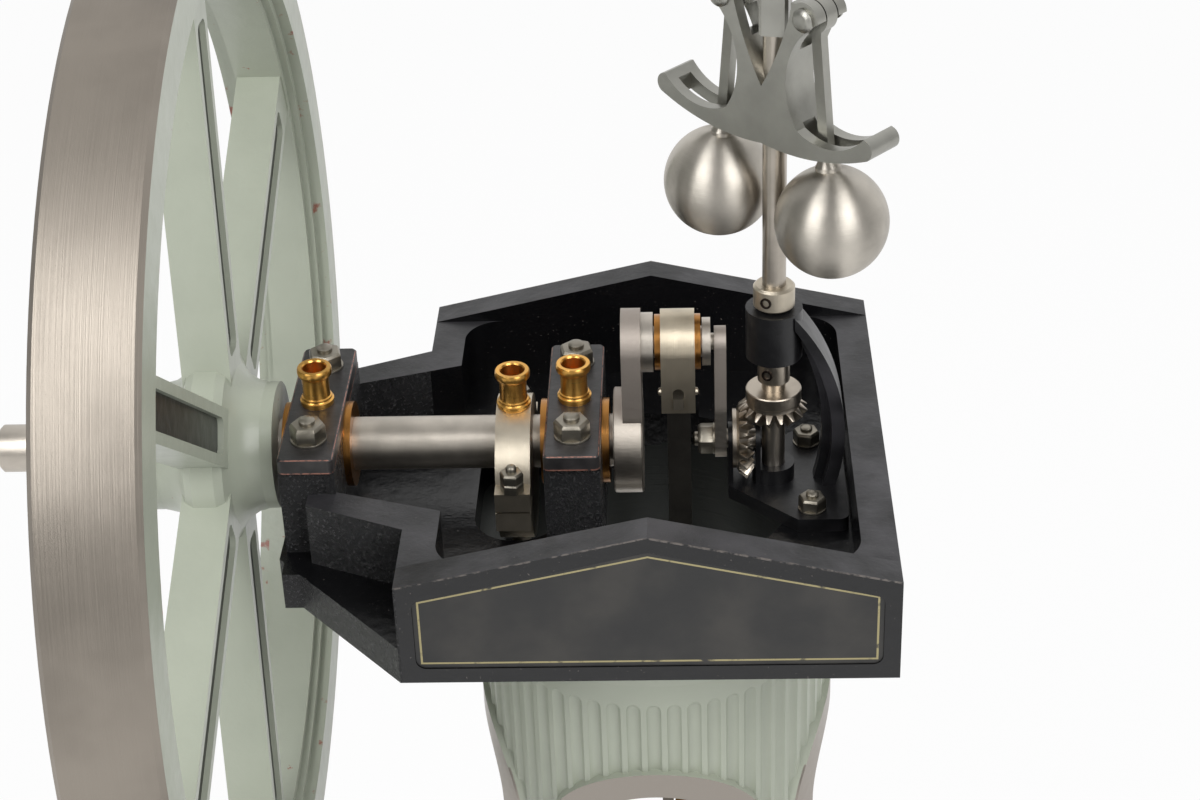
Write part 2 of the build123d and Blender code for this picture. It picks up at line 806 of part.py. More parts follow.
# Bevel shaft, carried by the two plates of the governor bracket
with BuildPart() as bevel_shaft:
    with BuildSketch(Plane.YZ.offset(drag_left - 2.2)):
        with Locations((0, shaft_height)):
            Circle(bevel_shaft_radius)
    extrude(amount=bracket_plate_right + bracket_plate_thickness - drag_left + 2.2)
bevel_shaft.part.label = "bevel_shaft"
export_step(bevel_shaft.part, "parts/bevel_shaft.step")

# Bevel gears: a root cone, a hub and tapered teeth that point at the shared apex
governor_pitch_radius = drive_pitch_radius * governor_teeth / drive_teeth
cone_distance = hypot(drive_pitch_radius, governor_pitch_radius)
tooth_pitch = 6.2832 * drive_pitch_radius / drive_teeth
tooth_thickness = tooth_share * tooth_pitch
tooth_height = tooth_addendum + tooth_dedendum + 0.3
apex = (governor_x, 0, shaft_height)
drive_plane = Plane(origin=apex, x_dir=(0, 0, 1), z_dir=(-1, 0, 0))
tooth_end = ((1 - gear_face_share) / 2 * tooth_thickness, (1 + gear_face_share) / 2 * tooth_thickness)
with BuildPart(drive_plane) as drive_bevel:
    heel = governor_pitch_radius
    radius = drive_pitch_radius
    root_heel = heel + tooth_dedendum * radius / cone_distance
    root_radius = radius - tooth_dedendum * heel / cone_distance
    with Locations((0, 0, gear_face_share * root_heel)):
        Cone(
            gear_face_share * root_radius,
            root_radius,
            (1 - gear_face_share) * root_heel,
            align=(Align.CENTER, Align.CENTER, Align.MIN),
        )
    with Locations((0, 0, root_heel)):
        Cylinder(root_radius - 1, gear_back, align=(Align.CENTER, Align.CENTER, Align.MIN))
    with PolarLocations(0, drive_teeth):
        tooth_base = (radius - (tooth_height - tooth_addendum) * heel / cone_distance)
        tooth_foot = heel + (tooth_height - tooth_addendum) * radius / cone_distance
        tooth_plane = Plane(origin=(tooth_base, 0, tooth_foot), x_dir=(0, -1, 0), z_dir=(heel, 0, -radius))
        with Locations(tooth_plane):
            Wedge(
                tooth_thickness,
                (1 - gear_face_share) * cone_distance,
                tooth_height,
                tooth_end[0],
                0.3,
                tooth_end[1],
                0.3 + gear_face_share * (tooth_height - 0.3),
                align=(Align.CENTER, Align.MIN, Align.MIN),
            )
    Cylinder(bevel_shaft_radius, 60, mode=Mode.SUBTRACT)
drive_bevel.part.label = "drive_bevel"
export_step(drive_bevel.part, "parts/drive_bevel.step")

half_tooth = 180 / governor_teeth
governor_plane = Plane(
    origin=apex,
    x_dir=(-cos(radians(half_tooth)), sin(radians(half_tooth)), 0),
    z_dir=(0, 0, 1),
)
with BuildPart(governor_plane) as governor_bevel:
    heel = drive_pitch_radius
    radius = governor_pitch_radius
    root_heel = heel + tooth_dedendum * radius / cone_distance
    root_radius = radius - tooth_dedendum * heel / cone_distance
    with Locations((0, 0, gear_face_share * root_heel)):
        Cone(
            gear_face_share * root_radius,
            root_radius,
            (1 - gear_face_share) * root_heel,
            align=(Align.CENTER, Align.CENTER, Align.MIN),
        )
    with Locations((0, 0, root_heel)):
        Cylinder(gear_hub_radius, gear_hub_top - root_heel, align=(Align.CENTER, Align.CENTER, Align.MIN))
        Cylinder(
            spindle_radius + 0.9,
            gear_collar_top - root_heel,
            align=(Align.CENTER, Align.CENTER, Align.MIN),
        )
    with PolarLocations(0, governor_teeth):
        tooth_base = radius - (tooth_height - tooth_addendum) * heel / cone_distance
        tooth_foot = heel + (tooth_height - tooth_addendum) * radius / cone_distance
        tooth_plane = Plane(origin=(tooth_base, 0, tooth_foot), x_dir=(0, -1, 0), z_dir=(heel, 0, -radius))
        with Locations(tooth_plane):
            Wedge(
                tooth_thickness,
                (1 - gear_face_share) * cone_distance,
                tooth_height,
                tooth_end[0],
                0.3,
                tooth_end[1],
                0.3 + gear_face_share * (tooth_height - 0.3),
                align=(Align.CENTER, Align.MIN, Align.MIN),
            )
    Cylinder(spindle_radius, 80, mode=Mode.SUBTRACT)
governor_bevel.part.label = "governor_bevel"
export_step(governor_bevel.part, "parts/governor_bevel.step")

# Connecting rod: butt in the strap, flat shank and a deep fork over the crosshead
butt_top = crankpin_z - 6.6
butt_bottom = crankpin_z - 12.9
cotter_foot = butt_bottom + 1.1
cotter_arch = cotter_foot + cotter_slot_height - cotter_width / 2
fork_top = crosshead_z + crosshead_height / 2 + stroke + 4
crown_top = fork_top + 9
tine_outer = fork_slot_half + tine_thickness
with BuildPart() as connecting_rod:
    with Locations((rod_x, 0, butt_bottom)):
        Box(
            2 * big_end_half_width,
            2 * (strap_opening - fit_gap),
            butt_top - butt_bottom,
            align=(Align.CENTER, Align.CENTER, Align.MIN),
        )
    with Locations((rod_x, 0, crown_top)):
        Box(
            rod_shank_width,
            rod_shank_depth,
            butt_bottom - crown_top,
            align=(Align.CENTER, Align.CENTER, Align.MIN),
        )
    with Locations((rod_x, 0, fork_top)):
        Box(
            2 * tine_outer,
            2 * tine_half_width,
            crown_top - fork_top,
            align=(Align.CENTER, Align.CENTER, Align.MIN),
        )
    for tine_start in (rod_x - tine_outer, rod_x + fork_slot_half):
        with BuildSketch(Plane.YZ.offset(tine_start)):
            with Locations((0, crosshead_z)):
                Circle(tine_half_width)
                Rectangle(2 * tine_half_width, fork_top - crosshead_z, align=(Align.CENTER, Align.MIN))
        extrude(amount=tine_thickness)
    with BuildSketch(Plane.XZ):
        with Locations((rod_x, cotter_foot)):
            Rectangle(cotter_width, cotter_arch - cotter_foot, align=(Align.CENTER, Align.MIN))
        with Locations((rod_x, cotter_arch)):
            Circle(cotter_width / 2)
    extrude(amount=2 * big_end_radius, both=True, mode=Mode.SUBTRACT)
connecting_rod.part.label = "connecting_rod"
export_step(connecting_rod.part, "parts/connecting_rod.step")

# Big-end strap, bent round the brasses
with BuildPart() as big_end_strap:
    with BuildSketch(Plane.YZ.offset(big_end_left)):
        with Locations((0, crankpin_z)):
            Circle(big_end_radius)
        with Locations((0, butt_bottom)):
            Rectangle(2 * big_end_radius, crankpin_z - butt_bottom, align=(Align.CENTER, Align.MIN))
        with Locations((0, crankpin_z)):
            Circle(strap_opening, mode=Mode.SUBTRACT)
        with Locations((0, butt_bottom)):
            Rectangle(
                2 * strap_opening,
                crankpin_z - butt_bottom,
                align=(Align.CENTER, Align.MIN),
                mode=Mode.SUBTRACT,
            )
    extrude(amount=2 * big_end_half_width)
    with BuildSketch(Plane.XZ):
        with Locations((rod_x, cotter_foot)):
            Rectangle(cotter_width, cotter_arch - cotter_foot, align=(Align.CENTER, Align.MIN))
        with Locations((rod_x, cotter_arch)):
            Circle(cotter_width / 2)
    extrude(amount=2 * big_end_radius, both=True, mode=Mode.SUBTRACT)
big_end_strap.part.label = "big_end_strap"
export_step(big_end_strap.part, "parts/big_end_strap.step")

# Big-end brasses with a lip each side of the strap
with BuildPart() as big_end_brass:
    with BuildSketch(Plane.YZ.offset(big_end_left)):
        with Locations((0, crankpin_z)):
            Circle(strap_opening - fit_gap)
        with Locations((0, butt_top + fit_gap)):
            Rectangle(
                2 * (strap_opening - fit_gap),
                crankpin_z - butt_top - fit_gap,
                align=(Align.CENTER, Align.MIN),
            )
    extrude(amount=2 * big_end_half_width)
    for lip_start in (big_end_left - brass_lip, big_end_right):
        with BuildSketch(Plane.YZ.offset(lip_start)):
            with Locations((0, crankpin_z)):
                Circle(brass_lip_radius)
        extrude(amount=brass_lip)
    with Locations((rod_x, 0, crankpin_z)):
        Cylinder(
            crankpin_radius + running_clearance,
            2 * (big_end_half_width + brass_lip),
            rotation=(0, 90, 0),
            mode=Mode.SUBTRACT,
        )
big_end_brass.part.label = "big_end_brass"
export_step(big_end_brass.part, "parts/big_end_brass.step")

# Cotter through the strap and the rod's butt
with BuildPart() as big_end_cotter:
    with Locations((rod_x, 0, cotter_foot + fit_gap)):
        Box(
            cotter_width - 2 * fit_gap,
            2 * (big_end_radius + cotter_overhang),
            cotter_height,
            align=(Align.CENTER, Align.CENTER, Align.MIN),
        )
big_end_cotter.part.label = "big_end_cotter"
export_step(big_end_cotter.part, "parts/big_end_cotter.step")

# Eccentric strap in two halves with bolting lugs front and back
strap_left = eccentric_x - eccentric_width / 2
with BuildPart() as eccentric_strap_upper:
    with BuildSketch(Plane.YZ.offset(strap_left)):
        with Locations((eccentric_offset_y, eccentric_z)):
            Circle(strap_radius)
            Rectangle(2 * strap_lug_reach, 2 * strap_lug_height)
            Circle(sheave_radius + running_clearance, mode=Mode.SUBTRACT)
        with Locations((eccentric_offset_y, eccentric_z + strap_split_gap / 2)):
            Rectangle(
                4 * strap_radius,
                2 * strap_radius,
                align=(Align.CENTER, Align.MIN),
                mode=Mode.INTERSECT,
            )
    extrude(amount=eccentric_width)
eccentric_strap_upper.part.label = "eccentric_strap_upper"
export_step(eccentric_strap_upper.part, "parts/eccentric_strap_upper.step")

with BuildPart() as eccentric_strap_lower:
    mirror(eccentric_strap_upper.part, about=Plane.XY.offset(eccentric_z))
eccentric_strap_lower.part.label = "eccentric_strap_lower"
export_step(eccentric_strap_lower.part, "parts/eccentric_strap_lower.step")

# Eccentric rod, down through the tray's floor to the valve gear, with an eye at its foot
with BuildPart() as eccentric_rod:
    with Locations((eccentric_x, eccentric_offset_y, eccentric_rod_foot_z)):
        Cylinder(
            eccentric_rod_radius,
            eccentric_z - strap_radius + 0.4 - eccentric_rod_foot_z,
            align=(Align.CENTER, Align.CENTER, Align.MIN),
        )
        Cylinder(2 * eccentric_rod_radius, 1.6 * eccentric_rod_radius, rotation=(0, 90, 0))
        Cylinder(eccentric_rod_radius, 4 * eccentric_rod_radius, rotation=(0, 90, 0), mode=Mode.SUBTRACT)
    with Locations((eccentric_x, eccentric_offset_y, eccentric_z)):
        Cylinder(strap_radius, eccentric_width, rotation=(0, 90, 0), mode=Mode.SUBTRACT)
eccentric_rod.part.label = "eccentric_rod"
export_step(eccentric_rod.part, "parts/eccentric_rod.step")

# Oil cup on the crown of the eccentric strap
with BuildPart() as eccentric_oil_cup:
    strap_crown = Location(
        (eccentric_x - inner_bearing_x, eccentric_offset_y, eccentric_z + strap_radius - cup_seat - 0.5)
    )
    add(oil_cup_inner.part.moved(strap_crown))
    with Locations((eccentric_x, eccentric_offset_y, eccentric_z)):
        Cylinder(strap_radius, 2 * eccentric_width, rotation=(0, 90, 0), mode=Mode.SUBTRACT)
eccentric_oil_cup.part.label = "eccentric_oil_cup"
export_step(eccentric_oil_cup.part, "parts/eccentric_oil_cup.step")

# Governor spindle, from the footstep to the finial
spindle_foot = floor_top + 1.1
with BuildPart() as governor_spindle:
    with Locations((governor_x, 0, spindle_foot)):
        Cylinder(
            spindle_radius,
            shaft_height + spindle_top - spindle_foot,
            align=(Align.CENTER, Align.CENTER, Align.MIN),
        )
governor_spindle.part.label = "governor_spindle"
export_step(governor_spindle.part, "parts/governor_spindle.step")

# Collar over the upper boss
with BuildPart() as spindle_collar:
    with Locations((governor_x, 0, boss_high + side_gap)):
        Cylinder(spindle_collar_radius, 5, align=(Align.CENTER, Align.CENTER, Align.MIN))
        Cylinder(spindle_radius, 5, align=(Align.CENTER, Align.CENTER, Align.MIN), mode=Mode.SUBTRACT)
    chamfer(spindle_collar.edges().filter_by(GeomType.CIRCLE).group_by(SortBy.RADIUS)[-1], 0.5)
spindle_collar.part.label = "spindle_collar"
export_step(spindle_collar.part, "parts/spindle_collar.step")

# Governor frame: an anchor-shaped plate, slotted so the ball arms swing between its cheeks
turn = radians(governor_turn)
swing_plane = Plane(origin=apex, x_dir=(cos(turn), sin(turn), 0), z_dir=(sin(turn), -cos(turn), 0))
side_plane = Plane(origin=apex, x_dir=(sin(turn), -cos(turn), 0), z_dir=(cos(turn), sin(turn), 0))
frame_eye_radius = pivot_radius + 1.8
frame_middle = frame_tip_radius / 2
with BuildPart() as governor_frame:
    with BuildSketch(swing_plane):
        for hand in (1, -1):
            with BuildLine():
                ThreePointArc(
                    (0, frame_low),
                    (hand * frame_middle, frame_low + 0.1),
                    (hand * frame_tip_radius, frame_tip_low),
                )
                ThreePointArc(
                    (hand * frame_tip_radius, frame_tip_low),
                    (hand * (frame_tip_radius + 0.9), frame_tip_high - 1.5),
                    (hand * (frame_tip_radius - 1), frame_tip_high),
                )
                ThreePointArc(
                    (hand * (frame_tip_radius - 1), frame_tip_high),
                    (hand * (frame_middle + 1.8), frame_low + 3.4),
                    (hand * (frame_waist_radius + 2.6), frame_low + 5),
                )
                ThreePointArc(
                    (hand * (frame_waist_radius + 2.6), frame_low + 5),
                    (hand * frame_waist_radius, frame_waist_z),
                    (hand * (arm_pivot_radius + frame_eye_radius), arm_pivot_z),
                )
                ThreePointArc(
                    (hand * (arm_pivot_radius + frame_eye_radius), arm_pivot_z),
                    (hand * arm_pivot_radius, arm_pivot_z + frame_eye_radius),
                    (hand * (arm_pivot_radius - frame_eye_radius), arm_pivot_z),
                )
                ThreePointArc(
                    (hand * (arm_pivot_radius - frame_eye_radius), arm_pivot_z),
                    (hand * (spindle_radius + 1), frame_crotch_z + 6.5),
                    (0, frame_crotch_z),
                )
                Line((0, frame_crotch_z), (0, frame_low))
            make_face()
    extrude(amount=frame_thickness / 2, both=True)
    slot_start = frame_waist_radius + 2
    slot_end = frame_tip_radius - 2.4
    with BuildSketch(swing_plane):
        for hand in (1, -1):
            with Locations((hand * (slot_start + slot_end) / 2, frame_low + 4)):
                Rectangle(slot_end - slot_start, 16)
            with Locations((hand * arm_pivot_radius, arm_pivot_z)):
                Rectangle(2 * frame_eye_radius + 6, 2 * frame_eye_radius + 8)
    extrude(amount=arm_thickness / 2 + side_gap, both=True, mode=Mode.SUBTRACT)
    with BuildSketch(swing_plane):
        for hand in (1, -1):
            with Locations((hand * arm_pivot_radius, arm_pivot_z)):
                Circle(pivot_radius)
    extrude(amount=frame_thickness, both=True, mode=Mode.SUBTRACT)
    with Locations((governor_x, 0, shaft_height + frame_low - 4)):
        Cylinder(
            spindle_radius,
            frame_crotch_z - frame_low + 16,
            align=(Align.CENTER, Align.CENTER, Align.MIN),
            mode=Mode.SUBTRACT,
        )
governor_frame.part.label = "governor_frame"
export_step(governor_frame.part, "parts/governor_frame.step")

# Pivot pins of the ball arms, riveted in the frame's cheeks
with BuildPart() as pivot_pin_right:
    with BuildSketch(swing_plane):
        with Locations((arm_pivot_radius, arm_pivot_z)):
            Circle(pivot_radius)
    extrude(amount=frame_thickness / 2 + 0.6, both=True)
pivot_pin_right.part.label = "pivot_pin_right"
export_step(pivot_pin_right.part, "parts/pivot_pin_right.step")

with BuildPart() as pivot_pin_left:
    mirror(pivot_pin_right.part, about=side_plane)
pivot_pin_left.part.label = "pivot_pin_left"
export_step(pivot_pin_left.part, "parts/pivot_pin_left.step")

# Ball arms: flat bars with an eye at the pivot and a short toe towards the sleeve
arm_lean = degrees(atan2(ball_orbit - arm_pivot_radius, arm_pivot_z - ball_z))
arm_length = hypot(ball_orbit - arm_pivot_radius, arm_pivot_z - ball_z)
ball_right_centre = swing_plane.from_local_coords((ball_orbit, ball_z, 0))
with BuildPart() as ball_arm_right:
    with BuildSketch(swing_plane):
        with Locations((arm_pivot_radius, arm_pivot_z)):
            Circle(arm_eye_radius)
            Rectangle(arm_pivot_radius - toe_reach, 2.6, align=(Align.MAX, Align.CENTER))
        with Locations(Location((arm_pivot_radius, arm_pivot_z, 0), (0, 0, arm_lean))):
            Rectangle(arm_bar_width, arm_length, align=(Align.CENTER, Align.MAX))
        with Locations((arm_pivot_radius, arm_pivot_z)):
            Circle(pivot_radius + running_clearance, mode=Mode.SUBTRACT)
    extrude(amount=arm_thickness / 2, both=True)
    with Locations(ball_right_centre):
        Sphere(ball_radius, mode=Mode.SUBTRACT)
ball_arm_right.part.label = "ball_arm_right"
export_step(ball_arm_right.part, "parts/ball_arm_right.step")

with BuildPart() as ball_arm_left:
    mirror(ball_arm_right.part, about=side_plane)
ball_arm_left.part.label = "ball_arm_left"
export_step(ball_arm_left.part, "parts/ball_arm_left.step")

# Governor balls
with BuildPart() as ball_right:
    with Locations(ball_right_centre):
        Sphere(ball_radius)
ball_right.part.label = "ball_right"
export_step(ball_right.part, "parts/ball_right.step")

with BuildPart() as ball_left:
    mirror(ball_right.part, about=side_plane)
ball_left.part.label = "ball_left"
export_step(ball_left.part, "parts/ball_left.step")

# Square sleeve that the arms' toes draw down the spindle
with BuildPart() as governor_sleeve:
    with BuildSketch(Plane(origin=(governor_x, 0, shaft_height + sleeve_bottom))):
        Rectangle(sleeve_side, sleeve_side, sleeve_turn)
        Circle(spindle_radius + running_clearance, mode=Mode.SUBTRACT)
    extrude(amount=sleeve_height)
    chamfer(governor_sleeve.edges().filter_by(Axis.Z), 0.6)
governor_sleeve.part.label = "governor_sleeve"
export_step(governor_sleeve.part, "parts/governor_sleeve.step")

# Finial on the spindle's end
with BuildPart() as governor_finial:
    with Locations((governor_x, 0, shaft_height + spindle_top)):
        Cylinder(finial_radius, 2.5, align=(Align.CENTER, Align.CENTER, Align.MIN))
        with Locations((0, 0, 2.5 + finial_radius * 0.7)):
            Sphere(finial_radius)
governor_finial.part.label = "governor_finial"
export_step(governor_finial.part, "parts/governor_finial.step")
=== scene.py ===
import bpy
import json
import math
from mathutils import Matrix, Vector


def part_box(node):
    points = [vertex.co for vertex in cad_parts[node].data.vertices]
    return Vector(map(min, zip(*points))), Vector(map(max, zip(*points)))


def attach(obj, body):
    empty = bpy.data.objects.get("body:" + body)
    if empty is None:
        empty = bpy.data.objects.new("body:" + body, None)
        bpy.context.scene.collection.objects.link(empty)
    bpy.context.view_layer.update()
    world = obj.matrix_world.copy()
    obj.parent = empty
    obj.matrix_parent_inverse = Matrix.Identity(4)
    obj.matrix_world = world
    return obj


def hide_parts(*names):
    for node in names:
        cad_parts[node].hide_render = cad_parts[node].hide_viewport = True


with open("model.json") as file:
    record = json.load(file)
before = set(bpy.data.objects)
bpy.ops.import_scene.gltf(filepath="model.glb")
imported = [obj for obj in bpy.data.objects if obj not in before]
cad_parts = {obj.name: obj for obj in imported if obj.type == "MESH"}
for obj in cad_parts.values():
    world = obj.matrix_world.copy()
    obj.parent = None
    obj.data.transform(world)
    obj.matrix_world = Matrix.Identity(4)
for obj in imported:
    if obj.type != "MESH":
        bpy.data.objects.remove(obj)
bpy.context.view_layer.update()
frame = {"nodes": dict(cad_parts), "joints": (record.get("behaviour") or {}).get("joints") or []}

# Base: a black-enamelled iron casting, panelled on four sides and bolted down by its foot plate.
# The enamel is smooth and glossy, with the slight ripple of paint brushed over cast iron.
ripple_scale = 260.0
ripple_depth = 0.0004


class Ink:
    """A socket of a finish's node tree. Sums on it add Math nodes to the tree."""

    def __init__(self, tree, socket=None):
        self.tree = tree
        self.socket = socket

    def node(self, kind, settings=None, sockets=None, output=0):
        made = self.tree.nodes.new(kind)
        for key, value in (settings or {}).items():
            setattr(made, key, value)
        for key, value in (sockets or {}).items():
            if isinstance(value, Ink):
                self.tree.links.new(value.socket, made.inputs[key])
            else:
                made.inputs[key].default_value = value
        return Ink(self.tree, made.outputs[output])

    def maths(self, operation, first, second=0.0):
        return self.node("ShaderNodeMath", {"operation": operation}, {0: first, 1: second})

    def __add__(self, other):
        return self.maths("ADD", self, other)

    def __radd__(self, other):
        return self.maths("ADD", other, self)

    def __sub__(self, other):
        return self.maths("SUBTRACT", self, other)

    def __rsub__(self, other):
        return self.maths("SUBTRACT", other, self)

    def __mul__(self, other):
        return self.maths("MULTIPLY", self, other)

    def __rmul__(self, other):
        return self.maths("MULTIPLY", other, self)

    def __gt__(self, other):
        return self.maths("GREATER_THAN", self, other)

    def __lt__(self, other):
        return self.maths("LESS_THAN", self, other)

    def size(self):
        return self.maths("ABSOLUTE", self)

    def root(self):
        return self.maths("SQRT", self)

    def either(self, other):
        return self.maths("MAXIMUM", self, other)

    def nearer(self, other):
        return self.maths("MINIMUM", self, other)

    def step(self, low, high):
        """0 below low and 1 above high, with a smooth ramp between."""
        return self.node(
            "ShaderNodeMapRange",
            {"interpolation_type": "SMOOTHSTEP"},
            {"Value": self, "From Min": low, "From Max": high},
        )

    def spread(self, low, high):
        """A value from 0 to 1 taken to the range from low to high."""
        return self.node("ShaderNodeMapRange", None, {"Value": self, "To Min": low, "To Max": high})

    def mix(self, first, second):
        """The first colour where this mask is 0 and the second where it is 1."""
        return self.node("ShaderNodeMix", {"data_type": "RGBA"}, {0: self, 6: first, 7: second}, output=2)

    def noise(self, place, scale, detail=3.0, roughness=0.55):
        return self.node(
            "ShaderNodeTexNoise",
            None,
            {"Vector": place, "Scale": scale, "Detail": detail, "Roughness": roughness},
        )

    def stretched(self, place, scale):
        return self.node("ShaderNodeMapping", None, {"Vector": place, "Scale": scale})

    def bump(self, strength, distance):
        return self.node("ShaderNodeBump", None, {"Height": self, "Strength": strength, "Distance": distance})

    def place(self):
        """The piece's own coordinates."""
        return self.node("ShaderNodeTexCoord", output=3)

    def facing(self):
        """The way that the surface looks, along X, Y and Z."""
        return self.axes(self.node("ShaderNodeTexCoord", output=1))

    def axes(self, vector):
        split = self.node("ShaderNodeSeparateXYZ", None, {0: vector})
        outputs = split.socket.node.outputs
        return [Ink(self.tree, outputs[axis]) for axis in range(3)]

    def feed(self, socket, value):
        self.tree.links.new(value.socket, socket)

    def feeding(self, socket):
        """What a socket is fed with so far."""
        return Ink(self.tree, socket.links[0].from_socket)


def linear(red, green, blue):
    """A screen colour from 0 to 255 as the scene's linear colour."""
    channels = [value / 255 for value in (red, green, blue)]
    levels = [c / 12.92 if c < 0.04045 else ((c + 0.055) / 1.055) ** 2.4 for c in channels]
    return (*levels, 1.0)


def new_finish(name):
    """A material, its node tree as Ink, its shader's inputs and the piece's coordinates."""
    material = bpy.data.materials.new(name)
    material.use_nodes = True
    ink = Ink(material.node_tree)
    return material, ink, material.node_tree.nodes["Principled BSDF"].inputs, ink.place()


def dress(material, *nodes):
    for name in nodes:
        for slot in frame["nodes"][name].material_slots:
            slot.material = material


enamel_black = linear(14, 14, 16)
enamel_rubbed = linear(46, 45, 48)
base_enamel, ink, sockets, place = new_finish("base_enamel")
ripple = ink.noise(place, ripple_scale)
ink.feed(sockets["Base Color"], ink.noise(place, 40.0).step(0.55, 0.75).mix(enamel_black, enamel_rubbed))
ink.feed(sockets["Roughness"], ripple.spread(0.28, 0.46))
ink.feed(sockets["Normal"], ripple.bump(0.35, ripple_depth))
dress(base_enamel, "base_plinth")

# Column: cast iron, fluted and painted sage green. Its bore, flange edge and window rims are machined:
# the rims and the edge are bright and stand proud of the paint. The bore is oily iron whose dark colour is
# partly painted shade, and the same dark colour is painted on the column's top face under the tray as shade.
sage = linear(168, 173, 158)
sage_shade = linear(150, 155, 141)
turned_bright = linear(158, 151, 143)
bore_oil_and_painted_shade = linear(58, 60, 58)
bore_reach = 0.0322
rim_face = 0.0379
ring_face = 0.0437
rims_low = 0.106
rims_high = 0.260
seat_depth = 0.0005
column_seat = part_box("column")[1][2] - seat_depth
paint_depth = 0.0003
column_paint, ink, sockets, place = new_finish("column_paint")
x, y, z = ink.axes(place)
radius = (x * x + y * y).root()
level = ink.facing()[2].size()
bright_rim = (radius > rim_face) * (level < 0.5) * (z > rims_low) * (z < rims_high)
bright = bright_rim.either(radius > ring_face)
# Bore and top face: dark oily iron, darkened further with painted shade.
bore_and_shaded_top = (radius < bore_reach).either(z > column_seat)
coat = ink.noise(place, 55.0).mix(sage_shade, sage)
lathe_marks = ink.noise(ink.stretched(place, (60.0, 60.0, 2600.0)), 1.0)
ink.feed(sockets["Base Color"], bore_and_shaded_top.mix(bright.mix(coat, turned_bright), bore_oil_and_painted_shade))
ink.feed(sockets["Metallic"], bright.either(bore_and_shaded_top * 0.7))
ink.feed(sockets["Roughness"], ink.noise(place, 900.0).spread(0.28, 0.4) + lathe_marks * bore_and_shaded_top * 0.1)
surface = ink.noise(place, 330.0) * (1.0 - bore_and_shaded_top) + lathe_marks * bore_and_shaded_top * 0.6
ink.feed(sockets["Normal"], surface.bump(0.25, paint_depth))
dress(column_paint, "column")

# Piston rod, guide bars and cylinder cover: turned and ground steel inside the column.
# The crosshead block that slides between the bars is yellow brass, and so is the gland round the rod.
steel_tone = linear(186, 178, 167)
brass_tone = linear(238, 182, 96)
mark_depth = 0.00012


def brushed(name, tone, stretch, low, high, depth=0.25, shade=0.74, turning=0.0):
    """Bright metal with fine tool marks, drawn out along each axis where stretch is small.

    turning draws the highlights up and down, as on a piece turned about its own upright axis.
    """
    material, ink, sockets, place = new_finish(name)
    marks = ink.noise(ink.stretched(place, stretch), 1.0, 4.0, 0.6)
    cloud = ink.noise(place, 120.0)
    tarnish = tuple(shade * level for level in tone[:3]) + (1.0,)
    ink.feed(sockets["Base Color"], cloud.step(0.3, 0.75).mix(tone, tarnish))
    sockets["Metallic"].default_value = 1.0
    sockets["Anisotropic"].default_value = turning
    sockets["Anisotropic Rotation"].default_value = 0.25
    ink.feed(sockets["Roughness"], marks.spread(low, high))
    ink.feed(sockets["Normal"], marks.bump(depth, mark_depth))
    return material


upright_steel = brushed("upright_steel", steel_tone, (2500.0, 2500.0, 60.0), 0.24, 0.42, turning=0.5)
dress(upright_steel, "piston_rod", "guide_bar_front", "guide_bar_back", "cylinder_cover")
turned_brass = brushed("turned_brass", brass_tone, (120.0, 120.0, 5000.0), 0.24, 0.34, 0.14, turning=0.6)
dress(turned_brass, "crosshead", "gland")

# Entablature: one iron casting in black enamel. Its top edges are rubbed down to a satin grey, and that grey
# on the top faces is also painted sheen. The tray is glossy inside, and the neck and the pedestals keep the
# rough skin of the sand mould under the paint, with light grains in it as painted glints. A grey line along
# the roof edges is partly worn paint and partly a painted highlight.
joints = {joint["name"]: joint for joint in frame["joints"]}
shaft_height = joints["crank_turn"]["pos_m"][2]
tray_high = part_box("entablature")[1]
tray_middle = -0.00025
tray_half_length = tray_high[0] - tray_middle
tray_half_width = tray_high[1]
tray_left = tray_middle - tray_half_length
corner_top = shaft_height + 0.0018
gable_rise = tray_high[2] - corner_top
rubbed_sheen_depth = 0.0003
skin_overlap = 0.0004
skin_depth = 0.0008
side_facing = 0.6
pedestal_left = -0.0222
pedestal_right = -0.0090
pedestal_half_width = 0.0225
worn_glint_height = 0.00025
worn_glint_width = 0.0003
tray_black = linear(12, 12, 14)
tray_rubbed_and_sheen = linear(58, 57, 60)
wear_dust_and_glint_grey = linear(92, 86, 82)
grain_dark = linear(20, 20, 22)
grain_painted_glint = linear(100, 99, 100)
casting, ink, sockets, place = new_finish("tray_enamel")
x, y, z = ink.axes(place)
upward = ink.facing()[2]
sideways = upward < side_facing
rough_side = (x < tray_left + skin_overlap) * sideways
inner_pedestal = (x > pedestal_left) * (x < pedestal_right) * (y.size() < pedestal_half_width) * sideways
skin = rough_side.either(inner_pedestal)
# Top faces: a satin grey that is partly rubbed paint and partly painted sheen.
top_face = upward.step(0.75, 0.9) * (z > corner_top - rubbed_sheen_depth)
sand = ink.noise(place, 1500.0, 5.0, 0.7)
orange_peel = ink.noise(place, 240.0, 2.0)
roof = corner_top + gable_rise * (1.0 - (x - tray_middle).size() * (1.0 / tray_half_length))
near_roof = (roof - z).size() < worn_glint_height
near_wall = (tray_half_width - y.size()) < worn_glint_width
# A grey line along the roof edges: partly worn paint and partly a painted highlight.
wear_and_edge_glint = near_roof * near_wall * ink.noise(place, 700.0, 4.0).step(0.42, 0.6)
dust = ink.noise(place, 1900.0, 2.0) > 0.735
# Painted glints: light specks in the sand skin stand in for the glints of its grains.
grains_and_painted_glints = sand.step(0.52, 0.74).mix(grain_dark, grain_painted_glint)
enamel_face = (top_face * ink.noise(place, 90.0).step(0.25, 0.75)).mix(skin.mix(tray_black, grains_and_painted_glints), tray_rubbed_and_sheen)
ink.feed(sockets["Base Color"], wear_and_edge_glint.either(dust).mix(enamel_face, wear_dust_and_glint_grey))
ink.feed(sockets["Roughness"], ink.noise(place, 150.0).spread(0.16, 0.28) + top_face * 0.24 + skin * 0.05)
relief = sand * (skin * 2.2 + 0.12) + orange_peel * (1.0 - skin) * 0.35
ink.feed(sockets["Normal"], relief.bump(0.8, skin_depth))
dress(casting, "entablature")

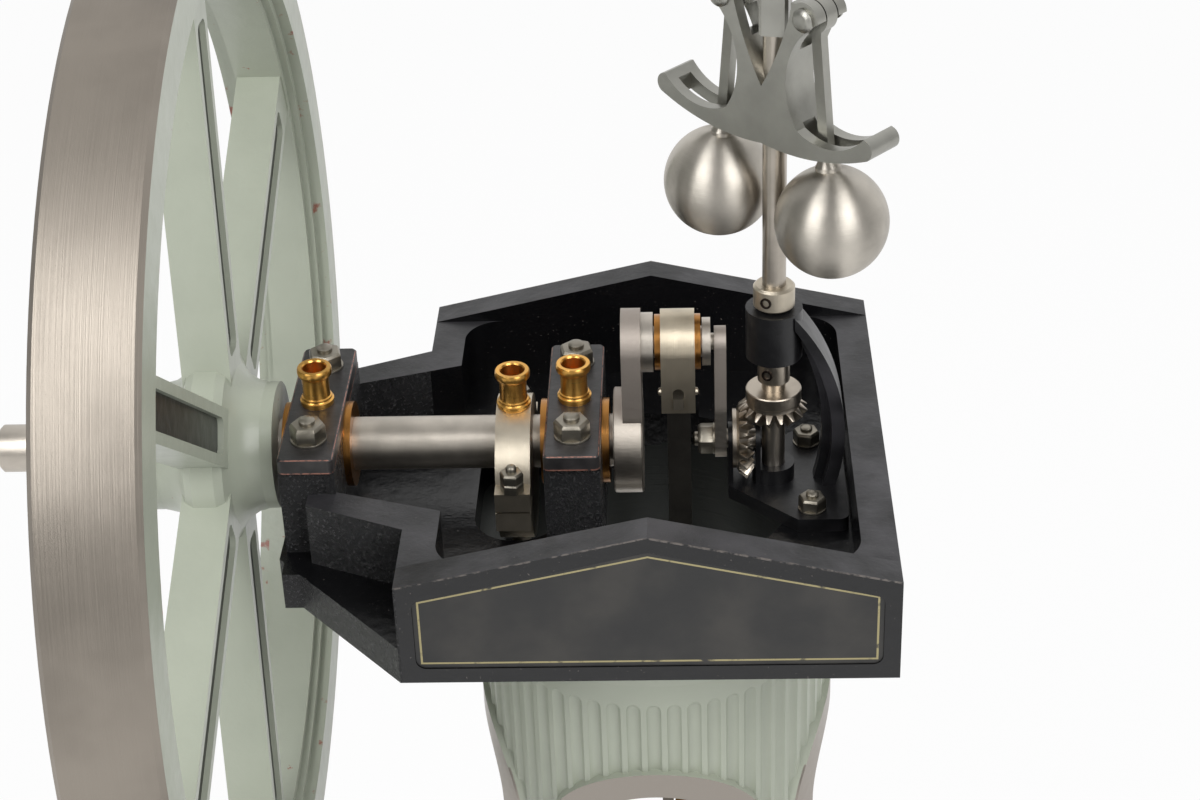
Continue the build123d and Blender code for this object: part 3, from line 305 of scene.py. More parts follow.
# Plate: thin brass sheet let into the front of the tray, painted satin black and left bare.
# A fine bright line runs round it, a little in from the edge.
plate_low, plate_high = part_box("nameplate")
plate_slope = 0.0109 / 0.0484
line_inset = 0.0009
line_width = 0.0004
plate_grain = 0.00015
plate_black = linear(30, 30, 30)
plate_dull = linear(50, 48, 45)
line_brass = linear(168, 158, 120)
plate_paint, ink, sockets, place = new_finish("plate_paint")
x, y, z = ink.axes(place)
roof = (plate_high[2] - z) - x.size() * plate_slope
ends = (x - plate_low[0]).nearer(plate_high[0] - x)
edge = ends.nearer((z - plate_low[2]).nearer(roof))
line = (edge > line_inset) * (edge < line_inset + line_width)
line_wear = line * ink.noise(place, 420.0).step(0.28, 0.45)
field = ink.noise(place, 70.0).step(0.3, 0.75).mix(plate_black, plate_dull)
ink.feed(sockets["Base Color"], line_wear.mix(field, line_brass))
ink.feed(sockets["Metallic"], line_wear * 0.8)
ink.feed(sockets["Roughness"], ink.noise(place, 600.0).spread(0.34, 0.5))
ink.feed(sockets["Normal"], ink.noise(place, 900.0).bump(0.3, plate_grain))
dress(plate_paint, "nameplate")

# Bearing shells: turned bronze, darker and redder than the oil cups, flanged each side of the pedestals.
# They carry the shaft between the pedestals and their caps, and like shells line the rod's big end.
bronze_tone = linear(184, 130, 70)
turned_bronze = brushed("turned_bronze", bronze_tone, (4200.0, 300.0, 300.0), 0.22, 0.38)
dress(turned_bronze, "bearing_brass_inner", "bearing_brass_outer", "big_end_brass")

# Bearing caps: flat iron keep plates in satin black, rubbed to copper-coloured primer along their edges.
# Each is held down by two studs, with washers and chamfered hexagon nuts in dull steel.
cap_black = linear(26, 25, 26)
cap_rubbed = linear(60, 57, 57)
cap_primer = linear(156, 110, 96)
cap_edge = 0.00028
cap_grain = 0.00025
cap_nut_reach = 0.0146
fastener_tone = linear(158, 152, 140)
nut_across = 0.0064
nut_height = 0.0034
nut_chamfer = 0.2 * nut_height
washer_height = 0.0005
stud_rise = 0.0012
small_ease = 0.0001


def cap_finish(name, node):
    """Satin black whose edges are worn, told by nearness to two faces of the node's box."""
    low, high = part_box(node)
    material, ink, sockets, place = new_finish(name)
    faces_near = 0.0
    for axis, along in enumerate(ink.axes(place)):
        faces_near = ((along - low[axis]).nearer(high[axis] - along) < cap_edge) + faces_near
    worn = (faces_near > 1.5) * ink.noise(place, 800.0, 4.0).step(0.36, 0.54)
    enamel_face = ink.noise(place, 160.0).step(0.3, 0.8).mix(cap_black, cap_rubbed)
    ink.feed(sockets["Base Color"], worn.mix(enamel_face, cap_primer))
    ink.feed(sockets["Metallic"], worn * 0.4)
    ink.feed(sockets["Roughness"], ink.noise(place, 500.0).spread(0.34, 0.5))
    ink.feed(sockets["Normal"], ink.noise(place, 700.0).bump(0.3, cap_grain))
    dress(material, node)


cap_finish("cap_black_inner", "bearing_cap_inner")
cap_finish("cap_black_outer", "bearing_cap_outer")
fastener_steel = brushed("fastener_steel", fastener_tone, (600.0, 600.0, 2500.0), 0.3, 0.5)


def clear_selection():
    if bpy.context.object and bpy.context.object.mode != "OBJECT":
        bpy.ops.object.mode_set(mode="OBJECT")
    bpy.ops.object.select_all(action="DESELECT")


def select_only(piece):
    clear_selection()
    piece.select_set(True)
    bpy.context.view_layer.objects.active = piece


def bar(radius, height, sides=32, foot=0.0):
    """A straight bar standing on the height foot, along Z."""
    clear_selection()
    middle = (0, 0, foot + height / 2)
    bpy.ops.mesh.primitive_cylinder_add(vertices=sides, radius=radius, depth=height, location=middle)
    bpy.ops.object.transform_apply(location=True)
    return bpy.context.object


def pick_face(piece, score):
    """Leaves the piece in edit mode with only the face of the highest score selected."""
    bpy.ops.object.mode_set(mode="EDIT")
    bpy.ops.mesh.select_mode(type="FACE")
    bpy.ops.mesh.select_all(action="DESELECT")
    bpy.ops.object.mode_set(mode="OBJECT")
    max(piece.data.polygons, key=score).select = True
    bpy.ops.object.mode_set(mode="EDIT")


def pick_top(piece):
    pick_face(piece, lambda face: face.normal.z + face.center.z)


def pick_facing(piece, direction):
    pick_face(piece, lambda face: face.normal.dot(direction))


def step_up(piece, rise, share):
    """Draws the top face up by rise and scales it, as a turned taper or chamfer."""
    pick_top(piece)
    bpy.ops.mesh.extrude_region_move(TRANSFORM_OT_translate={"value": (0, 0, rise)})
    bpy.ops.transform.resize(value=(share, share, 1))
    bpy.ops.object.mode_set(mode="OBJECT")


def turned(start, steps, sides=48):
    """A lathe-turned piece along Z. start and each step are a radius and a height above the foot."""
    radius, height = start
    piece = bar(radius, height, sides)
    pick_top(piece)
    for next_radius, next_height in steps:
        bpy.ops.mesh.extrude_region_move(TRANSFORM_OT_translate={"value": (0, 0, next_height - height)})
        share = next_radius / radius
        bpy.ops.transform.resize(value=(share, share, 1))
        radius, height = next_radius, next_height
    bpy.ops.object.mode_set(mode="OBJECT")
    return piece


def eased(piece, width, angle=35):
    """The piece with every edge sharper than an angle taken off by a narrow round."""
    ease = piece.modifiers.new("ease", "BEVEL")
    ease.width = width
    ease.segments = 2
    ease.limit_method = "ANGLE"
    ease.angle_limit = math.radians(angle)
    select_only(piece)
    bpy.ops.object.modifier_apply(modifier="ease")
    return piece


def joined(name, pieces, material):
    """One mesh at the origin from several, with the finish and smooth turned faces."""
    select_only(pieces[0])
    for piece in pieces:
        piece.select_set(True)
    if len(pieces) > 1:
        bpy.ops.object.join()
    whole = bpy.context.object
    bpy.ops.object.transform_apply(location=True, rotation=True, scale=True)
    whole.name = name
    whole.data.name = name
    whole.data.materials.clear()
    whole.data.materials.append(material)
    bpy.ops.object.shade_smooth_by_angle(angle=math.radians(32))
    return whole


def copied(pattern, name):
    """A copy of a piece, with its own mesh."""
    piece = pattern.copy()
    piece.data = pattern.data.copy()
    piece.name = name
    piece.data.name = name
    bpy.context.scene.collection.objects.link(piece)
    return piece


def fitted(pattern, name, place, body, along=(0, 0, 1), spin=0.0, scale=1.0):
    """A copy of a pattern piece, seated at place and pointing along a direction."""
    piece = copied(pattern, name)
    turn = Vector((0, 0, 1)).rotation_difference(Vector(along)).to_matrix() @ Matrix.Rotation(spin, 3, "Z")
    select_only(piece)
    piece.matrix_world = Matrix.Translation(place) @ turn.to_4x4() @ Matrix.Scale(scale, 4)
    bpy.ops.object.transform_apply(location=True, rotation=True, scale=True)
    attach(piece, body)
    return piece


def box_middle(node):
    low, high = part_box(node)
    return (Vector(low) + Vector(high)) / 2


def hexagon(foot):
    """A plain hexagon nut with its top corners turned off."""
    nut = bar(nut_across / math.sqrt(3), nut_height - nut_chamfer, 6, foot)
    step_up(nut, nut_chamfer, 0.87)
    return eased(nut, small_ease, 25)


def stud_end(foot, rise):
    """The end of a stud that stands out of its nut, rounded off."""
    stud = bar(0.26 * nut_across, 0.6 * rise, 24, foot)
    step_up(stud, 0.25 * rise, 0.8)
    step_up(stud, 0.15 * rise, 0.55)
    return stud


washer = eased(bar(0.575 * nut_across, washer_height), small_ease)
stud_nut = joined(
    "stud_nut",
    [washer, hexagon(washer_height), stud_end(washer_height + nut_height, stud_rise)],
    fastener_steel,
)
for bearing in ("inner", "outer"):
    cap = f"bearing_cap_{bearing}"
    for side, sign, spin in (("front", -1, 0.52), ("back", 1, 0.2)):
        seat = (box_middle(cap).x, sign * cap_nut_reach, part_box(cap)[1][2])
        fitted(stud_nut, f"cap_nut_{bearing}_{side}", seat, "frame", spin=spin)

# Oil cups: turned yellow brass, waisted between two rolled rings and open at the top.
# They are screwed into the caps and the eccentric strap, and the oil drips through to the bearing.
cup_foot = (0.00335, 0.0002)
cup_profile = [
    (0.00350, 0.0004),
    (0.00350, 0.0011),
    (0.00320, 0.0013),
    (0.00312, 0.0014),
    (0.00312, 0.0018),
    (0.00286, 0.0020),
    (0.00278, 0.0026),
    (0.00276, 0.0042),
    (0.00282, 0.0058),
    (0.00296, 0.0064),
    (0.00335, 0.0067),
    (0.00358, 0.0071),
    (0.00362, 0.0076),
    (0.00358, 0.0081),
    (0.00338, 0.0085),
    (0.00262, 0.0085),
    (0.00242, 0.0082),
    (0.00236, 0.0026),
]
cup_bodies = {"oil_cup_inner": "frame", "oil_cup_outer": "frame", "eccentric_oil_cup": "eccentric_rod"}
oil_cup = joined("oil_cup", [turned(cup_foot, cup_profile)], turned_brass)
for node, body in cup_bodies.items():
    middle = box_middle(node)
    seat = (middle.x, middle.y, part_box(node)[0][2])
    cup = fitted(oil_cup, f"turned_{node}", seat, body)
    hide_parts(node)
bpy.data.objects.remove(oil_cup)

# Crankshaft and crank: ground steel, with fine rings left by the lathe. The crank is milled and filed from
# one forging, with a round boss on the shaft's end and a flat arm out to the crankpin.
shaft_tone = linear(204, 196, 185)
web_tone = linear(212, 203, 191)
filed_shaded_tone = linear(172, 163, 155)
filed_shade_from = shaft_height + 0.0078
filed_shade_to = shaft_height + 0.0100
skim = 0.00005
web_low, web_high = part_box("crank_web")
crank_left = web_low[0]
crank_length = web_high[0] + skim - crank_left
crank_throw = joints["big_end"]["pos_m"][2] - shaft_height
boss_radius = web_high[1]
boss_back_ease = 0.0002
boss_face_ease = 0.0003
arm_thickness = 0.0040
arm_half_width = 0.0070
arm_foot_half_width = 0.0073
shaft_steel = brushed("ground_shaft", shaft_tone, (5000.0, 60.0, 60.0), 0.34, 0.44, 0.16)
dress(shaft_steel, "crankshaft", "crank_pin", "bevel_shaft")


def reopened(material):
    """A finished material's Ink, its shader's inputs and the piece's coordinates along X, Y and Z."""
    ink = Ink(material.node_tree)
    return ink, material.node_tree.nodes["Principled BSDF"].inputs, ink.axes(ink.place())


web_steel = brushed("milled_web", web_tone, (900.0, 900.0, 2200.0), 0.3, 0.44)
ink, sockets, (x, y, z) = reopened(web_steel)
# Upper arm: a filed, rougher finish, with a darker tone there that is painted shade.
filed_and_shaded = z.step(filed_shade_from, filed_shade_to)
ink.feed(sockets["Roughness"], ink.feeding(sockets["Roughness"]) + filed_and_shaded * 0.2)
ink.feed(sockets["Base Color"], filed_and_shaded.mix(ink.feeding(sockets["Base Color"]), filed_shaded_tone))
dress(web_steel, "drag_crank")
boss_profile = [
    (boss_radius, boss_back_ease),
    (boss_radius, crank_length - boss_face_ease),
    (boss_radius - boss_face_ease, crank_length),
]
crank_boss = turned((boss_radius - boss_back_ease, skim), boss_profile, 96)
arm_foot = crank_length - arm_thickness
arm_rise = arm_thickness - skim
crank_eye = bar(arm_half_width, arm_rise, 96, arm_foot)
crank_eye.data.transform(Matrix.Translation((0, crank_throw, 0)))
clear_selection()
arm_middle = (0, crank_throw / 2, arm_foot + arm_rise / 2)
bpy.ops.mesh.primitive_cube_add(size=1.0, location=arm_middle)
crank_arm = bpy.context.object
crank_arm.scale = (2 * arm_half_width, crank_throw, arm_rise)
bpy.ops.object.transform_apply(location=True, scale=True)
pick_facing(crank_arm, Vector((0, -1, 0)))
bpy.ops.transform.resize(value=(arm_foot_half_width / arm_half_width, 1, 1))
bpy.ops.object.mode_set(mode="OBJECT")
forging = joined("forging", [crank_boss, crank_eye, crank_arm], web_steel)
crank_seat = (crank_left, 0, shaft_height)
crank = fitted(forging, "crank", crank_seat, "crankshaft", (1, 0, 0), math.radians(90))
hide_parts("crank_web")
bpy.data.objects.remove(forging)

# Flywheel: one iron casting, painted sage green, with the face of its rim turned and polished. The panels
# sunk in its spokes are black, a fillet runs the spokes into the hub, and chips show the red primer.
wheel_middle = -0.0902
wheel_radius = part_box("flywheel")[1][1]
polish_depth = 0.0011
panel_half_width = 0.0042
panel_start = 0.02
panel_end = 0.0985
hub_reach = 0.0165
lip_radius = 0.1030
lip_edge_width = 0.00035
lip_end = 0.1045
cast_depth = 0.0005
primer = linear(142, 90, 76)
panel_black = linear(20, 20, 20)
polish_bright = linear(158, 150, 140)
polish_stained = linear(138, 131, 122)
wheel_paint, ink, sockets, place = new_finish("wheel_paint")
x, y, z = ink.axes(place)
drop = z - shaft_height
radius = (y * y + drop * drop).root()
sideways = ink.facing()[0].size()
across = (x - wheel_middle).size()
polished = radius > wheel_radius - polish_depth
panel = (sideways > 0.9) * (across < panel_half_width) * (radius > panel_start) * (radius < panel_end)
coat = ink.noise(place, 45.0).mix(sage_shade, sage)
chipped_parts = (radius < hub_reach) + (radius > panel_end) * (radius < lip_end)
chip = (ink.noise(place, 320.0, 4.0, 0.7) > 0.71) * chipped_parts
lip_edge = (radius - lip_radius).size() < lip_edge_width
chip = chip.either(lip_edge * ink.noise(place, 260.0, 4.0).step(0.58, 0.68))
painted = chip.mix(panel.mix(coat, panel_black), primer)
ring_marks = ink.noise(ink.stretched(place, (3800.0, 25.0, 25.0)), 1.0, 4.0)
polish = ink.noise(place, 28.0, 4.0).step(0.35, 0.7).mix(polish_bright, polish_stained)
ink.feed(sockets["Base Color"], polished.mix(painted, polish))
ink.feed(sockets["Metallic"], polished)
coat_roughness = ink.noise(place, 200.0).spread(0.26, 0.4)
polish_roughness = ring_marks.spread(0.36, 0.52)
ink.feed(sockets["Roughness"], coat_roughness * (1.0 - polished) + polish_roughness * polished)
lumps = ink.noise(place, 210.0, 4.0) * (1.0 - polished) + ring_marks * polished * 0.22
ink.feed(sockets["Normal"], lumps.bump(0.4, cast_depth))
dress(wheel_paint, "flywheel")
flare_half_length = 0.0108
flare_start = (0.01335, 0.0002)
flare_slope = [(0.0139, 0.0025), (0.0152, 0.0045), (0.0172, 0.0059), (0.0193, 0.0068), (0.0204, 0.0085)]
flare_profile = [
    *flare_slope,
    *[(reach, 2 * flare_half_length - height) for reach, height in reversed(flare_slope)],
    (0.0132, 2 * flare_half_length),
]
flare = joined("flare", [turned(flare_start, flare_profile, 96)], wheel_paint)
flare_seat = (wheel_middle - flare_half_length, 0.0, shaft_height)
fitted(flare, "hub_flare", flare_seat, "crankshaft", (1, 0, 0))
bpy.data.objects.remove(flare)

# Eccentric: a steel sheave keyed to the shaft, in a steel strap whose halves are bolted at two lugs.
# Each bolt carries a nut and a lock nut, and the rod hangs from the strap's lower half.
strap_tone = linear(206, 196, 178)
eccentric_x, eccentric_y, eccentric_z = joints["eccentric_turn"]["pos_m"]
lug_top = eccentric_z + 0.0044
lug_reach = 0.0163
bolt_rise = 0.0022
lock_nut_scale = 0.66
strap_steel = brushed("strap_steel", strap_tone, (9000.0, 60.0, 60.0), 0.34, 0.46, 0.34)
dress(strap_steel, "eccentric_sheave", "eccentric_strap_upper", "eccentric_strap_lower", "eccentric_rod")
lock_nut = joined(
    "lock_nut",
    [hexagon(0.0), hexagon(nut_height), stud_end(2 * nut_height, bolt_rise)],
    fastener_steel,
)
for side, sign in (("front", -1), ("back", 1)):
    seat = (eccentric_x, eccentric_y + sign * lug_reach, lug_top)
    fitted(lock_nut, f"strap_nuts_{side}", seat, "eccentric_rod", spin=0.4, scale=lock_nut_scale)
bpy.data.objects.remove(lock_nut)

# Connecting rod: a forged steel rod, with a bright strap round the big end's bronze shells. A cotter through
# the strap's slot draws it tight, and the head of a small pin shows on each side of the strap.
# The slot's walls are coloured dark as painted shade.
rod_tone = linear(120, 116, 110)
big_end_tone = linear(214, 202, 180)
slot_painted_shade = linear(24, 20, 17)
rod_middle = joints["big_end"]["pos_m"][0]
strap_low, strap_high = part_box("big_end_strap")
slot_half_width = 0.0013
slot_top = shaft_height + 0.0161
slot_margin = 0.0002
pin_start = (0.0008, 0.0002)
pin_profile = [(0.0007, 0.0005), (0.0004, 0.0007)]
pin_forward = 0.0052
pin_height = shaft_height + 0.0146
rod_steel = brushed("rod_steel", rod_tone, (700.0, 700.0, 3000.0), 0.3, 0.46)
dress(rod_steel, "connecting_rod")
dress(strap_steel, "big_end_cotter")
big_end_steel = brushed("big_end_steel", big_end_tone, (9000.0, 60.0, 60.0), 0.34, 0.46, 0.3)
ink, sockets, (x, y, z) = reopened(big_end_steel)
# Painted shade: the walls of the strap's slot are coloured dark.
across = (x - rod_middle).size() < slot_half_width
in_slot = across * (y.size() < strap_high[1] - slot_margin) * (z < slot_top)
ink.feed(sockets["Base Color"], in_slot.mix(ink.feeding(sockets["Base Color"]), slot_painted_shade))
dress(big_end_steel, "big_end_strap")
pin_head = joined("pin_head", [turned(pin_start, pin_profile, 24)], strap_steel)
for side, face, sign in (("left", strap_low[0], -1), ("right", strap_high[0], 1)):
    seat = (face, -pin_forward, pin_height)
    fitted(pin_head, f"strap_pin_{side}", seat, "connecting_rod", (sign, 0, 0))
bpy.data.objects.remove(pin_head)

# Drag crank and bevel gears: the crankpin drives a steel link, which a nut draws on to the bevel shaft.
# The gears are turned from bright steel, with tapered teeth cut towards the point where their axes meet.
gear_tone = linear(186, 176, 162)
drive_radius = 0.0079
drive_teeth = 20
governor_teeth = 16
governor_radius = drive_radius * governor_teeth / drive_teeth
cone_length = math.hypot(drive_radius, governor_radius)
tooth_rise = 0.00095
tooth_sink = 0.0011
tooth_root = 0.0015
tooth_tip = 0.00055
tooth_slice = 0.0001
tooth_ease = 0.00008
toe_share = 0.72
drive_back_step = 0.001
drive_back_chamfer = 0.0005
drive_back_width = 0.0008
gear_neck_radius = 0.00245
gear_collar_radius = 0.0033
drag_nut_scale = 0.9
governor_x = joints["governor_spin"]["pos_m"][0]
gear_steel = brushed("gear_steel", gear_tone, (900.0, 900.0, 900.0), 0.24, 0.42)


def gear_root(radius, heel):
    """The root cone's radius and height at the wide end of the teeth."""
    return radius - tooth_sink * heel / cone_length, heel + tooth_sink * radius / cone_length


def gear_body(root, rise, profile):
    """The turned part of a gear, from the narrow end of its root cone up through a profile."""
    toe_rise = toe_share * rise
    steps = [(radius, height - toe_rise) for radius, height in profile]
    body = turned((toe_share * root, skim), steps, 80)
    body.data.transform(Matrix.Translation((0, 0, toe_rise)))
    return body


def bevel_gear(name, radius, heel, teeth, phase, body):
    """A turned body with tapered teeth round it. Its axis is Z and its pitch cone's point is the origin."""
    outward = Vector((0, radius, heel)) / cone_length
    rootward = Vector((0, -heel, radius)) / cone_length
    clear_selection()
    bpy.ops.mesh.primitive_cube_add(size=1.0)
    tooth = bpy.context.object
    middle = cone_length * outward + (tooth_sink - tooth_rise) / 2 * rootward
    turn = Matrix((Vector((1, 0, 0)), outward, rootward)).transposed().to_4x4()
    block = Matrix.Diagonal((tooth_root, tooth_slice, tooth_rise + tooth_sink, 1))
    tooth.matrix_world = Matrix.Translation(middle) @ turn @ block
    bpy.ops.object.transform_apply(location=True, rotation=True, scale=True)
    pick_facing(tooth, -rootward)
    bpy.ops.transform.resize(value=(tooth_tip / tooth_root, 1, 1))
    bpy.ops.object.mode_set(mode="OBJECT")
    pick_facing(tooth, -outward)
    bpy.ops.transform.resize(value=(toe_share, toe_share, toe_share), center_override=(0, 0, 0))
    bpy.ops.object.mode_set(mode="OBJECT")
    eased(tooth, tooth_ease, 20)
    ring = []
    for count in range(teeth):
        copy = copied(tooth, f"{name}_tooth_{count}")
        copy.data.transform(Matrix.Rotation((count + phase) * 2 * math.pi / teeth, 4, "Z"))
        ring.append(copy)
    bpy.data.objects.remove(tooth)
    return joined(name, [body, *ring], gear_steel)


gear_point = (governor_x, 0.0, shaft_height)
root, rise = gear_root(drive_radius, governor_radius)
drive_profile = [
    (root, rise),
    (root - drive_back_step, rise + drive_back_chamfer),
    (root - drive_back_step, rise + drive_back_chamfer + drive_back_width),
]
drive_body = gear_body(root, rise, drive_profile)
drive_gear = bevel_gear("drive_gear", drive_radius, governor_radius, drive_teeth, 0.0, drive_body)
drive = fitted(drive_gear, "drive_bevel_gear", gear_point, "crankshaft", (-1, 0, 0))
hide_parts("drive_bevel")
root, rise = gear_root(governor_radius, drive_radius)
governor_profile = [
    (root, rise),
    (0.0054, rise + 0.0004),
    (0.0054, rise + 0.0008),
    (0.0057, rise + 0.0011),
    (0.0057, 0.0120),
    (0.0055, 0.0122),
    (gear_neck_radius, 0.0122),
    (gear_neck_radius, 0.0141),
    (gear_collar_radius - 0.0002, 0.0141),
    (gear_collar_radius, 0.0143),
    (gear_collar_radius, 0.0190),
]
governor_body = gear_body(root, rise, governor_profile)
governor_gear = bevel_gear("governor_gear", governor_radius, drive_radius, governor_teeth, 0.5, governor_body)
driven = fitted(governor_gear, "governor_bevel_gear", gear_point, "governor")
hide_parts("governor_bevel")
drag_seat = (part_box("drag_crank")[0][0], 0.0, shaft_height)
fitted(stud_nut, "drag_nut", drag_seat, "crankshaft", (-1, 0, 0), 0.3, drag_nut_scale)
bpy.data.objects.remove(drive_gear)
bpy.data.objects.remove(governor_gear)

# Governor bracket: a black iron casting, with a boss for the spindle to turn in at the top of a curved arm.
# Its foot plate is held to the tray's floor by two small nuts on studs.
foot_thickness = 0.003
foot_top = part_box("governor_bracket")[0][2] + foot_thickness
foot_nut_x = 0.0330
foot_nut_reach = 0.0128
foot_nut_scale = 0.78
dress(base_enamel, "governor_bracket")
for side, sign in (("front", -1), ("back", 1)):
    seat = (foot_nut_x, sign * foot_nut_reach, foot_top)
    fitted(stud_nut, f"foot_nut_{side}", seat, "frame", spin=0.3, scale=foot_nut_scale)
bpy.data.objects.remove(stud_nut)

# Governor: turned and filed steel throughout, with polished balls on slim arms. Domed rivets hold the arms
# in the frame, each ball has a short collar, and set screws lock the collar and the gear on the spindle.
frame_tone = linear(166, 165, 158)
ball_tone = linear(196, 190, 180)
screw_tone = linear(62, 54, 50)
frame_steel = brushed("frame_steel", frame_tone, (800.0, 800.0, 800.0), 0.3, 0.46, 0.35, 0.86)
dress(frame_steel, "governor_frame", "ball_arm_left", "ball_arm_right", "governor_sleeve")
dress(upright_steel, "governor_spindle", "governor_finial", "pivot_pin_left", "pivot_pin_right")
dress(strap_steel, "spindle_collar")
ball_steel = brushed("ball_steel", ball_tone, (60.0, 60.0, 3600.0), 0.38, 0.48, 0.4, turning=0.85)
dress(ball_steel, "ball_left", "ball_right")
front = Vector(joints["arm_swing_right"]["axis"]).normalized()
cheek = 0.0042
arm_eye_reach = 0.0036
arm_neck = 0.0045
arm_slimness = 0.66
merge_reach = 0.000001
rivet_radius = 0.0023
rivet_rim = 0.0005
rivet_dome = ((0.0004, 0.86), (0.0003, 0.62))
ball_collar_radius = 0.0025
ball_collar_rim = 0.0008
ball_collar_taper = ((0.0002, 0.92), (0.0012, 0.78))
ball_collar_sink = 0.00035


def slim_arm(side, pivot, arm_line):
    """A copy of a ball arm, filed slimmer below its eye. Its own axes have the pivot as their origin."""
    arm = copied(frame["nodes"][f"ball_arm_{side}"], f"slim_arm_{side}")
    arm_axes = Matrix((front.cross(arm_line), front, arm_line)).transposed().to_4x4()
    arm_axes.translation = pivot
    arm.data.transform(arm_axes.inverted())
    select_only(arm)
    bpy.ops.object.mode_set(mode="EDIT")
    bpy.ops.mesh.select_mode(type="VERT")
    bpy.ops.mesh.select_all(action="SELECT")
    bpy.ops.mesh.remove_doubles(threshold=merge_reach)
    bpy.ops.mesh.bisect(plane_co=(0, 0, -arm_neck), plane_no=(0, 0, 1))
    bpy.ops.mesh.select_all(action="DESELECT")
    bpy.ops.object.mode_set(mode="OBJECT")
    for vertex in arm.data.vertices:
        vertex.select = vertex.co.z < -arm_eye_reach
    bpy.ops.object.mode_set(mode="EDIT")
    bpy.ops.transform.resize(value=(arm_slimness, arm_slimness, 1), center_override=(0, 0, 0))
    bpy.ops.object.mode_set(mode="OBJECT")
    arm.data.transform(arm_axes)
    bpy.ops.mesh.customdata_custom_splitnormals_clear()
    bpy.ops.object.shade_smooth_by_angle(angle=math.radians(32))
    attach(arm, f"ball_arm_{side}")
    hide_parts(f"ball_arm_{side}")


rivet_body = bar(rivet_radius, rivet_rim, 28)
for rise, share in rivet_dome:
    step_up(rivet_body, rise, share)
rivet = joined("rivet", [rivet_body], frame_steel)
collar_body = bar(ball_collar_radius, ball_collar_rim, 28)
for rise, share in ball_collar_taper:
    step_up(collar_body, rise, share)
ball_collar = joined("ball_collar", [collar_body], ball_steel)
for side in ("right", "left"):
    pivot = Vector(joints[f"arm_swing_{side}"]["pos_m"])
    for face, sign in (("front", 1), ("back", -1)):
        seat = pivot + sign * cheek * front
        fitted(rivet, f"rivet_{side}_{face}", seat, "governor", sign * front)
    ball = box_middle(f"ball_{side}")
    ball_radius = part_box(f"ball_{side}")[1][2] - ball.z
    arm_line = (pivot - ball).normalized()
    seat = ball + (ball_radius - ball_collar_sink) * arm_line
    fitted(ball_collar, f"ball_collar_{side}", seat, f"ball_arm_{side}", arm_line)
    slim_arm(side, pivot, arm_line)

screw_radius = 0.00115
screw_height = 0.0008
screw_wall = 0.0004
screw_socket = 0.0006
screw_angle = math.radians(-115)
gear_screw_height = shaft_height + 0.0167
collar_screw_sink = 0.00055
gear_screw_sink = 0.00045
spindle_collar_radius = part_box("spindle_collar")[1][0] - governor_x
screw_black = brushed("screw_black", screw_tone, (900.0, 900.0, 900.0), 0.34, 0.5)
screw_body = bar(screw_radius, screw_height, 28)
pick_top(screw_body)
bpy.ops.mesh.inset(thickness=screw_wall)
bpy.ops.mesh.extrude_region_move(TRANSFORM_OT_translate={"value": (0, 0, -screw_socket)})
bpy.ops.object.mode_set(mode="OBJECT")
set_screw = joined("set_screw", [screw_body], screw_black)
screw_line = Vector((math.cos(screw_angle), math.sin(screw_angle), 0))
collar_point = Vector((governor_x, 0, box_middle("spindle_collar").z))
seat = collar_point + (spindle_collar_radius - collar_screw_sink) * screw_line
fitted(set_screw, "collar_set_screw", seat, "governor", screw_line)
seat = Vector((governor_x, 0, gear_screw_height)) + (gear_collar_radius - gear_screw_sink) * screw_line
fitted(set_screw, "gear_set_screw", seat, "governor", screw_line)
for pattern in (rivet, ball_collar, set_screw):
    bpy.data.objects.remove(pattern)

# Studio: a pale floor that reads as white behind the engine, and two tall soft boxes above the camera.
# The room is white behind the engine and dimmer in front of it, so the bright metal keeps its shading.
floor_size = 8.0
floor_drop = 0.0002
floor_white = 0.93
room_front = 0.36
room_back = 0.62
left_dimming = 0.6
box_width = 0.5
box_height = 0.75
box_power = 6.0
clear_selection()
bpy.ops.mesh.primitive_plane_add(size=floor_size, location=(0, 0, -floor_drop))
floor = bpy.context.object
floor.name = "floor"
bpy.ops.object.transform_apply(location=True)
floor_paper, ink, sockets, place = new_finish("floor_paper")
sockets["Base Color"].default_value = (0.86, 0.86, 0.87, 1)
sockets["Roughness"].default_value = 0.8
rays = ink.node("ShaderNodeLightPath").socket.node.outputs
direct = Ink(ink.tree, rays["Is Camera Ray"]).either(Ink(ink.tree, rays["Is Glossy Ray"]))
direct = direct.either(Ink(ink.tree, rays["Is Transmission Ray"]))
white = ink.node("ShaderNodeEmission", None, {"Color": (1, 1, 1, 1), "Strength": 1.0})
paper = Ink(ink.tree, ink.tree.nodes["Principled BSDF"].outputs[0])
blend = ink.node("ShaderNodeMixShader", None, {0: direct * floor_white, 1: paper, 2: white})
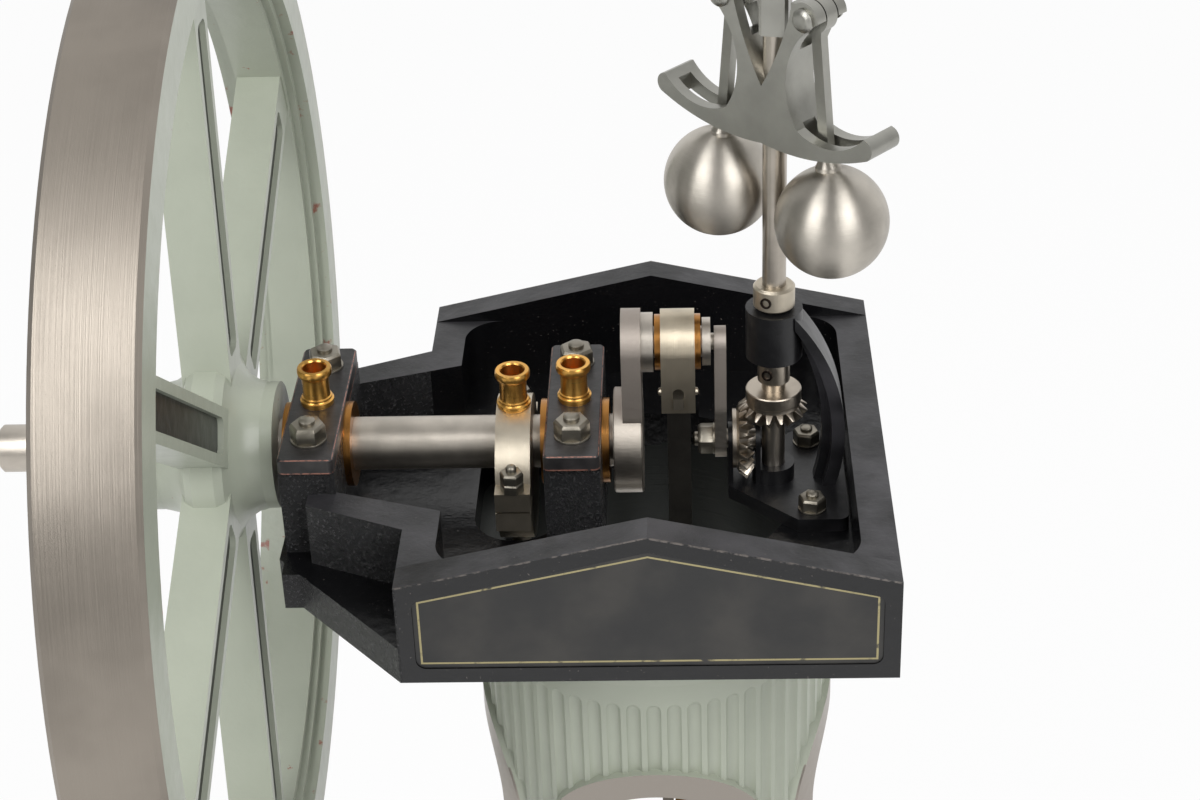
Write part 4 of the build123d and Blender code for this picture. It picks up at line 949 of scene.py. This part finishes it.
ink.feed(ink.tree.nodes["Material Output"].inputs["Surface"], blend)
floor.data.materials.append(floor_paper)

world = bpy.data.worlds.new("studio")
bpy.context.scene.world = world
world.use_nodes = True
room = Ink(world.node_tree)
sideward, backward = room.axes(room.node("ShaderNodeTexCoord", output=0))[:2]
seen = Ink(room.tree, room.node("ShaderNodeLightPath").socket.node.outputs["Is Camera Ray"])
left_side = 1.0 - sideward.step(-0.9, -0.45)
lit = (backward.step(-0.3, 0.7) * room_back + room_front) * (1.0 - left_side * left_dimming)
background = world.node_tree.nodes["Background"].inputs
background["Color"].default_value = (1, 1, 1, 1)
room.feed(background["Strength"], lit.either(seen))


def soft_light(name, place, aim):
    """A rectangular soft box that points from place to aim."""
    lamp = bpy.data.lights.new(name, "AREA")
    lamp.shape = "RECTANGLE"
    lamp.size = box_width
    lamp.size_y = box_height
    lamp.energy = box_power
    holder = bpy.data.objects.new(name, lamp)
    bpy.context.scene.collection.objects.link(holder)
    holder.location = place
    holder.rotation_euler = (Vector(aim) - Vector(place)).to_track_quat("-Z", "Y").to_euler()


engine_top = (0.0, 0.0, shaft_height)
soft_light("left_box", (-0.52, -0.58, 0.88), engine_top)
soft_light("right_box", (0.46, -0.64, 0.88), engine_top)

# Camera: a long lens that looks down on the tray from the plate's side. Its place and turn were found from
# the tray's corners, the shaft and the flywheel in the photograph.
camera_place = Vector((0.00874, -0.42757, shaft_height + 0.26753))
camera_right = Vector((0.99917, 0.02469, -0.03238))
camera_down = Vector((-0.01497, -0.51687, -0.85594))
camera_forward = Vector((-0.03786, 0.85571, -0.51608))
lens = bpy.data.cameras.new("photo_camera")
lens.sensor_width = 36.0
lens.lens = 72.76
lens.clip_start = 0.01
camera = bpy.data.objects.new("photo_camera", lens)
bpy.context.scene.collection.objects.link(camera)
turn = Matrix((camera_right, -camera_down, -camera_forward)).transposed()
camera.matrix_world = Matrix.Translation(camera_place) @ turn.to_4x4()
bpy.context.scene.camera = camera
bpy.context.scene.view_settings.view_transform = "Standard"
